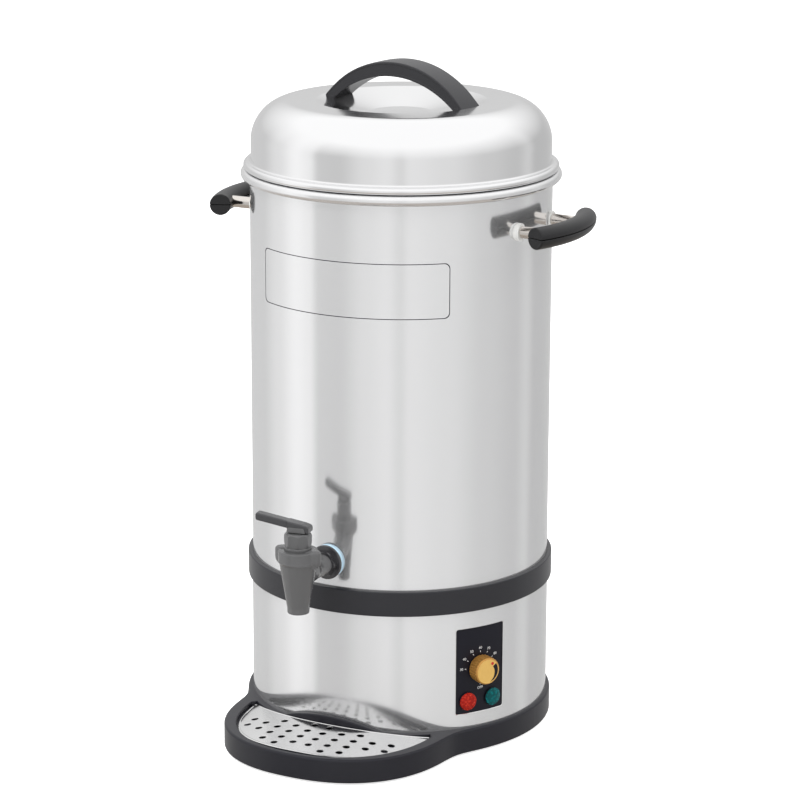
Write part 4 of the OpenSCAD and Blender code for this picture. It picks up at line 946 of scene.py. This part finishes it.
def makeLever():
    mesh = bmesh.new()
    rings = []
    for along, low, high in leverSide:
        ends = min((high - low) / 5, 1)
        wide = 6.15 if along < 9.0 else 5.0
        wide -= 0.9 * (1 - ends) + (0.5 if along > 38.5 else 0)
        soft = min(1.5, (high - low) * 0.28)
        corners = [(wide, low, 0.6 * soft), (wide, high, soft),
                   (-wide, high, soft), (-wide, low, 0.6 * soft)]
        rings.append([(across, -along, rise) for across, rise in softened(corners, closed=True, steps=4)])
    skin(mesh, rings, first=True, last=True)
    place = standing(tap["pin"], tap["leverTurn"], tap["out"])
    makePiece("tapLever", mesh, "tap_plastic", "tap_lever", ["tap_lever"], place, sharp=24,
              finish=mouldedPlastic("leverPlastic", (0.035, 0.035, 0.038), 0.2, 0.00001, 900.0, 0.5, 0.3))
    block = bmesh.new()
    wide = tap["hub"]
    corners = [(wide, -tap["hubBack"]), (wide, tap["hubFront"]),
               (-wide, tap["hubFront"]), (-wide, -tap["hubBack"])]
    rings = []
    for drawn, rise in ((0.5, -4.0), (0.0, -3.5), (0.0, -2.2), (0.5, 1.0)):
        share = 1 - drawn / wide
        outline = softened([(x * share, y * share, tap["hubSoft"]) for x, y in corners], closed=True)
        rings.append([(across, -along, rise) for across, along in outline])
    skin(block, rings, first=True, last=True)
    makePiece("leverBlock", block, "tap_plastic", "tap_lever", place=place, sharp=24)


def makeTapNut():
    mesh = bmesh.new()
    radius = tap["nutR"]
    flat = tap["nutFlat"]
    levels = [(9.0, 0.0), (radius - 0.3, 0.0), (radius, 0.4), (radius, 1.6), (radius - 0.5, 2.3),
              (radius - 1.2, 2.6), (flat + 1.9, 2.8), (flat + 1.6, 3.2), (flat + 1.6, 6.4),
              (flat + 0.5, 7.1), (flat - 0.6, 7.35), (tap["nutBore"], 7.35)]
    rings = [flatted(30 if height < 2.75 else flat, limit, height, 6, 0) for limit, height in levels]
    skin(mesh, rings, first=True, last=True)
    gloss = mouldedPlastic("nutPlastic", (0.03, 0.03, 0.033), 0.12, 0.000005, 900.0, 0.6, 0.5)
    place = facing(0, tap["neck"], tap["sealOut"] + 0.05)
    makePiece("tapNut", mesh, "tap_plastic", "kettle", ["tap_nut"], place, sharp=20, finish=gloss)
    ring = bmesh.new()
    outer = tap["sealR"]
    thick = tap["sealOut"] - tap["sealIn"]
    levels = [(tap["nutBore"], 0), (outer, 0), (outer + 0.5, thick * 0.4), (outer + 0.5, thick - 1.4),
              (outer, thick - 0.5), (outer - 0.8, thick), (tap["nutBore"], thick)]
    skin(ring, [circleRing(radius, height, sides=96) for radius, height in levels], loop=True)
    makePiece("tapSeal", ring, "seal_blue", "kettle", ["tap_seal"], facing(0, tap["neck"], tap["sealIn"]))


# Control panel: printed dial, fluted knob and domed lamps
panel = {"turn": 60.0, "r": 139.65, "dial": 80.5, "tick": 16.0, "word": 19.4, "size": 3.5, "lampH": 50.0,
         "lampX": 13.5, "lampR": 8.4, "dome": 1.6, "skirt": 2.6}
knob = {"base": 140.2, "long": 12.5, "r": 13.0, "flutes": 28, "deep": 0.75, "mark": 55.0, "markOut": 8.4,
        "markR": 1.5, "inner": 6.8, "outer": 10.9}
marks = {"30": 177, "40": 148, "50": 119, "60": 90, "70": 61, "80": 32, "OFF": -90}


def printed(mesh, outline, lift=0.05):
    spots = []
    for across, rise in outline:
        turn = math.radians(panel["turn"]) + across / panel["r"]
        spots.append(around(turn, panel["r"] + lift, panel["dial"] + rise))
    mesh.faces.new([mesh.verts.new(Vector(spot) * mm) for spot in spots])


def addWord(mesh, word, middle, size):
    text = bpy.data.curves.new("word", "FONT")
    text.body = word
    text.size = size
    text.align_x = "CENTER"
    text.align_y = "CENTER"
    holder = bpy.data.objects.new("word", text)
    bpy.context.scene.collection.objects.link(holder)
    flat = holder.evaluated_get(bpy.context.evaluated_depsgraph_get()).to_mesh()
    first = len(mesh.verts)
    mesh.from_mesh(flat)
    mesh.verts.ensure_lookup_table()
    for vert in mesh.verts[first:]:
        turn = math.radians(panel["turn"]) + (middle[0] + vert.co.x) / panel["r"]
        height = panel["dial"] + middle[1] + vert.co.y
        vert.co = Vector(around(turn, panel["r"] + 0.05, height)) * mm
    bpy.data.objects.remove(holder)
    bpy.data.curves.remove(text)


def makeDialPrint():
    mesh = bmesh.new()
    for word, degrees in marks.items():
        turn = math.radians(degrees)
        out = panel["word"] + (0.6 if abs(math.cos(turn)) > 0.8 else 0.0)
        addWord(mesh, word, (out * math.cos(turn), out * math.sin(turn)), panel["size"])
        aim = Vector((math.cos(turn), math.sin(turn)))
        side = Vector((-aim.y, aim.x)) * 0.3
        near = aim * (panel["tick"] - 0.9)
        far = aim * (panel["tick"] + 0.5)
        printed(mesh, [near - side, near + side, far + side, far - side])
    printed(mesh, [spot[:2] for spot in circleRing(0.5, 0, (panel["tick"], 0.8), 16)])
    ink = Finish("dialInk")
    speckle = ink.noise(900.0)
    shade = ink.mixed(speckle, (0.78, 0.78, 0.78), (0.86, 0.86, 0.86))
    makePiece("dialPrint", mesh, "panel_black", "kettle", finish=ink.surface(colour=shade, rough=0.5))


def makeKnob():
    mesh = bmesh.new()
    steps = knob["flutes"] * 8
    top = knob["long"]
    rings = []
    for drawn, height, share in ((0.6, 0.0, 0.0), (0.2, 0.3, 0.7), (0.0, 1.0, 1.0), (0.0, top - 2.1, 1.0),
                                 (0.1, top - 1.3, 0.6), (0.35, top - 0.8, 0.0), (0.8, top - 0.3, 0.0),
                                 (1.5, top, 0.0)):
        ring = []
        for k in range(steps):
            turn = 2 * math.pi * k / steps
            groove = abs(math.sin(knob["flutes"] * turn / 2)) ** 1.6
            radius = knob["r"] - drawn - share * knob["deep"] * (1 - groove)
            ring.append((radius * math.cos(turn), radius * math.sin(turn), height))
        rings.append(ring)
    skin(mesh, rings, first=True)
    place = facing(panel["turn"], panel["dial"], knob["base"])
    # Painted shade and highlight: the fluted side is a darker copy of the knob's gold, streaked at random
    # between dark brown and brighter gold to stand in for the flutes' shade and highlights
    shadedGold = Finish("knobSide")
    streak = shadedGold.noise(260.0, (1, 1, 0.2), 2.0)
    shade = shadedGold.mixed(streak, (0.34, 0.14, 0.025), (0.7, 0.38, 0.1))
    side = shadedGold.surface(colour=shade, metal=0.55, rough=0.32, normal=shadedGold.bump(streak, 0.00002))
    makePiece("knobSide", mesh, "knob_gold", "knob", ["control_knob"], place, sharp=50, finish=side)
    face = bmesh.new()
    levels = [(11.7, top - 0.2), (11.5, top), (11.2, top), (11.0, top - 0.14), (0.01, top - 0.14)]
    skin(face, [circleRing(radius, height, sides=96) for radius, height in levels], last=True)
    gold = Finish("knobFace")
    grain = gold.noise(420.0, (1, 1, 1), 3.0)
    shade = gold.mixed(grain, (0.86, 0.53, 0.14), (0.93, 0.6, 0.19))
    brushed = gold.surface(colour=shade, metal=0.7, rough=0.3, normal=gold.bump(grain, 0.00001))
    makePiece("knobFace", face, "knob_gold", "knob", place=place, finish=brushed)
    addKnobMarks(place)


def addKnobMarks(place):
    dot = bmesh.new()
    turn = math.radians(knob["mark"])
    middle = (knob["markOut"] * math.cos(turn), knob["markOut"] * math.sin(turn))
    top = knob["long"]
    levels = [(1.0, top - 0.07), (1.0, top), (0.6, top + 0.06)]
    skin(dot, [circleRing(knob["markR"] * share, height, middle, 24) for share, height in levels], last=True)
    red = mouldedPlastic("markRed", (0.5, 0.012, 0.008), 0.35)
    makePiece("knobDot", dot, "knob_gold", "knob", place=place, finish=red)
    arc = bmesh.new()
    rings = []
    for k in range(41):
        share = k / 40
        turn = math.radians(37 - 114 * share)
        inner = knob["inner"] + (knob["outer"] - knob["inner"]) * share ** 2.1 - 0.08
        rings.append([(radius * math.cos(turn), radius * math.sin(turn), top - 0.06)
                      for radius in (inner, knob["outer"])])
    skin(arc, rings, closed=False)
    makePiece("knobArc", arc, "knob_gold", "knob", place=place, finish=finishes["panel_black"])


def makeSignals():
    for side, name, slotName, node in ((-1, "redLamp", "lens_red", "red_lamp_lens"),
                                       (1, "greenLamp", "lens_green", "green_lamp_lens")):
        mesh = bmesh.new()
        radius = panel["lampR"]
        skirt = panel["skirt"]
        face = radius - 1.3
        levels = [(radius, 0.0), (radius - 0.1, skirt - 0.5), (radius - 0.5, skirt),
                  (face + 0.5, skirt + 0.1)]
        levels += [(face * math.cos(math.radians(t)), skirt + panel["dome"] * math.sin(math.radians(t)))
                   for t in (6, 18, 32, 46, 60, 74, 84)]
        skin(mesh, [circleRing(r, height, sides=64) for r, height in levels], first=True, last=True)
        turn = panel["turn"] + side * math.degrees(panel["lampX"] / panel["r"])
        makePiece(name, mesh, slotName, "kettle", [node], facing(turn, panel["lampH"], panel["r"]))


# Bare label: a thin printed frame on the tank
label = {"from": -33.8, "to": 46.0, "low": 414.5, "high": 465.0, "corner": 5.0, "line": 0.7, "r": 140.06,
         "part": 3}


def makeLabel():
    mesh = bmesh.new()
    half = math.radians(label["to"] - label["from"]) / 2 * label["r"]
    tall = (label["high"] - label["low"]) / 2
    middle = math.radians(label["from"] + label["to"]) / 2
    level = (label["low"] + label["high"]) / 2
    outline = roundedLoop(half, tall, label["corner"])
    pairs = zip(outline, outline[1:] + outline[:1])
    counts = [max(int(math.dist(spot, ahead) / label["part"]), 1) for spot, ahead in pairs]
    outer = finerLoop(outline, counts)
    rings = []
    for drawn in (0, label["line"]):
        loop = [(x * (1 - drawn / half), y * (1 - drawn / tall)) for x, y in outer]
        rings.append([around(middle + x / label["r"], label["r"], level + y) for x, y in loop])
    skin(mesh, rings)
    makePiece("labelFrame", mesh, "body_steel", "kettle", finish=finishes["panel_black"])


# Lower housing with the panel's opening, and the thin bright frame in it
housing = {"r": 140.6, "wall": 0.8, "low": 24.55, "high": 148.75, "turn": 60.0, "half": 26.7, "from": 37.5,
           "to": 121.5, "corner": 2.8, "patch": 46.0, "frame": 0.85, "frameIn": 139.7, "columns": 120}
sideParts = ([1] * 6 + [10]) * 4  # parts of each stretch: six at a corner, then a straight side


def openingLoop(drawn):
    half = housing["half"] - drawn
    tall = (housing["to"] - housing["from"]) / 2 - drawn
    return finerLoop(roundedLoop(half, tall, housing["corner"] - drawn), sideParts)


def patchLoop(top, low):
    wide = housing["patch"]
    corners = [(wide, top), (-wide, top), (-wide, low), (wide, low)]
    made = []
    for place, spot in enumerate(corners):
        for step in range(-3, 4):
            other = corners[place - 1] if step < 0 else corners[(place + 1) % 4]
            made.append(between(spot, other, abs(step) / 3 * 0.12))
    return finerLoop(made, sideParts)


def makeHousing():
    mesh = bmesh.new()
    radius = housing["r"]
    middle = (housing["from"] + housing["to"]) / 2
    turn = math.radians(housing["turn"])

    def wrapped(spot, out=radius):
        return around(turn + spot[0] / radius, out, middle + spot[1])

    inner = openingLoop(0)
    outer = patchLoop(housing["high"] - middle, housing["low"] - middle)
    skin(mesh, [[wrapped(between(first, second, share)) for first, second in zip(inner, outer)]
                for share in (0, 0.15, 0.35, 0.6, 0.8, 1.0)])
    levels = sorted({round(z, 6) for x, z in outer if x > housing["patch"] - 0.001})
    span = housing["patch"] / radius
    columns = []
    for k in range(housing["columns"] + 1):
        way = turn + span + (2 * math.pi - 2 * span) * k / housing["columns"]
        columns.append([around(way, radius, middle + z) for z in levels])
    skin(mesh, columns, closed=False)
    cleaned(mesh, 0.000005)
    bmesh.ops.recalc_face_normals(mesh, faces=mesh.faces)
    outward = sum(face.normal.dot(face.calc_center_median() * Vector((1, 1, 0))) for face in mesh.faces)
    inward = 1 if outward > 0 else -1
    bmesh.ops.solidify(mesh, geom=mesh.faces[:], thickness=inward * housing["wall"] * mm)
    makePiece("lowerHousing", mesh, "body_steel", "kettle", ["lower_housing"], sharp=50)
    trim = bmesh.new()
    line = housing["frame"]
    section = [(0.0, housing["frameIn"]), (0.0, radius + 0.02), (0.12, radius + 0.2),
               (line * 0.6, radius + 0.2), (line, radius - 0.15), (line, housing["frameIn"])]
    skin(trim, [[wrapped(spot, out) for spot in openingLoop(drawn)] for drawn, out in section], loop=True)
    makePiece("panelFrame", trim, "bezel_chrome", "kettle", ["panel_bezel"], sharp=40)


makeHousing()
makeStrap()
makeHandles()
print("strap and handles done")
makeTapBody()
makeBonnet()
makeLever()
makeTapNut()
print("tap done")
makeDialPrint()
makeKnob()
makeSignals()
makeLabel()
print("panel and label done")
for name, soft in (("handle_sleeves", 0.35), ("handle_washers", 0.6), ("cable_gland", 0.4), ("feet", 0.5)):
    easedCopy(name, soft)
for item in nodes.values():
    item.data.shade_smooth()
    item.data.set_sharp_from_angle(angle=math.radians(28))
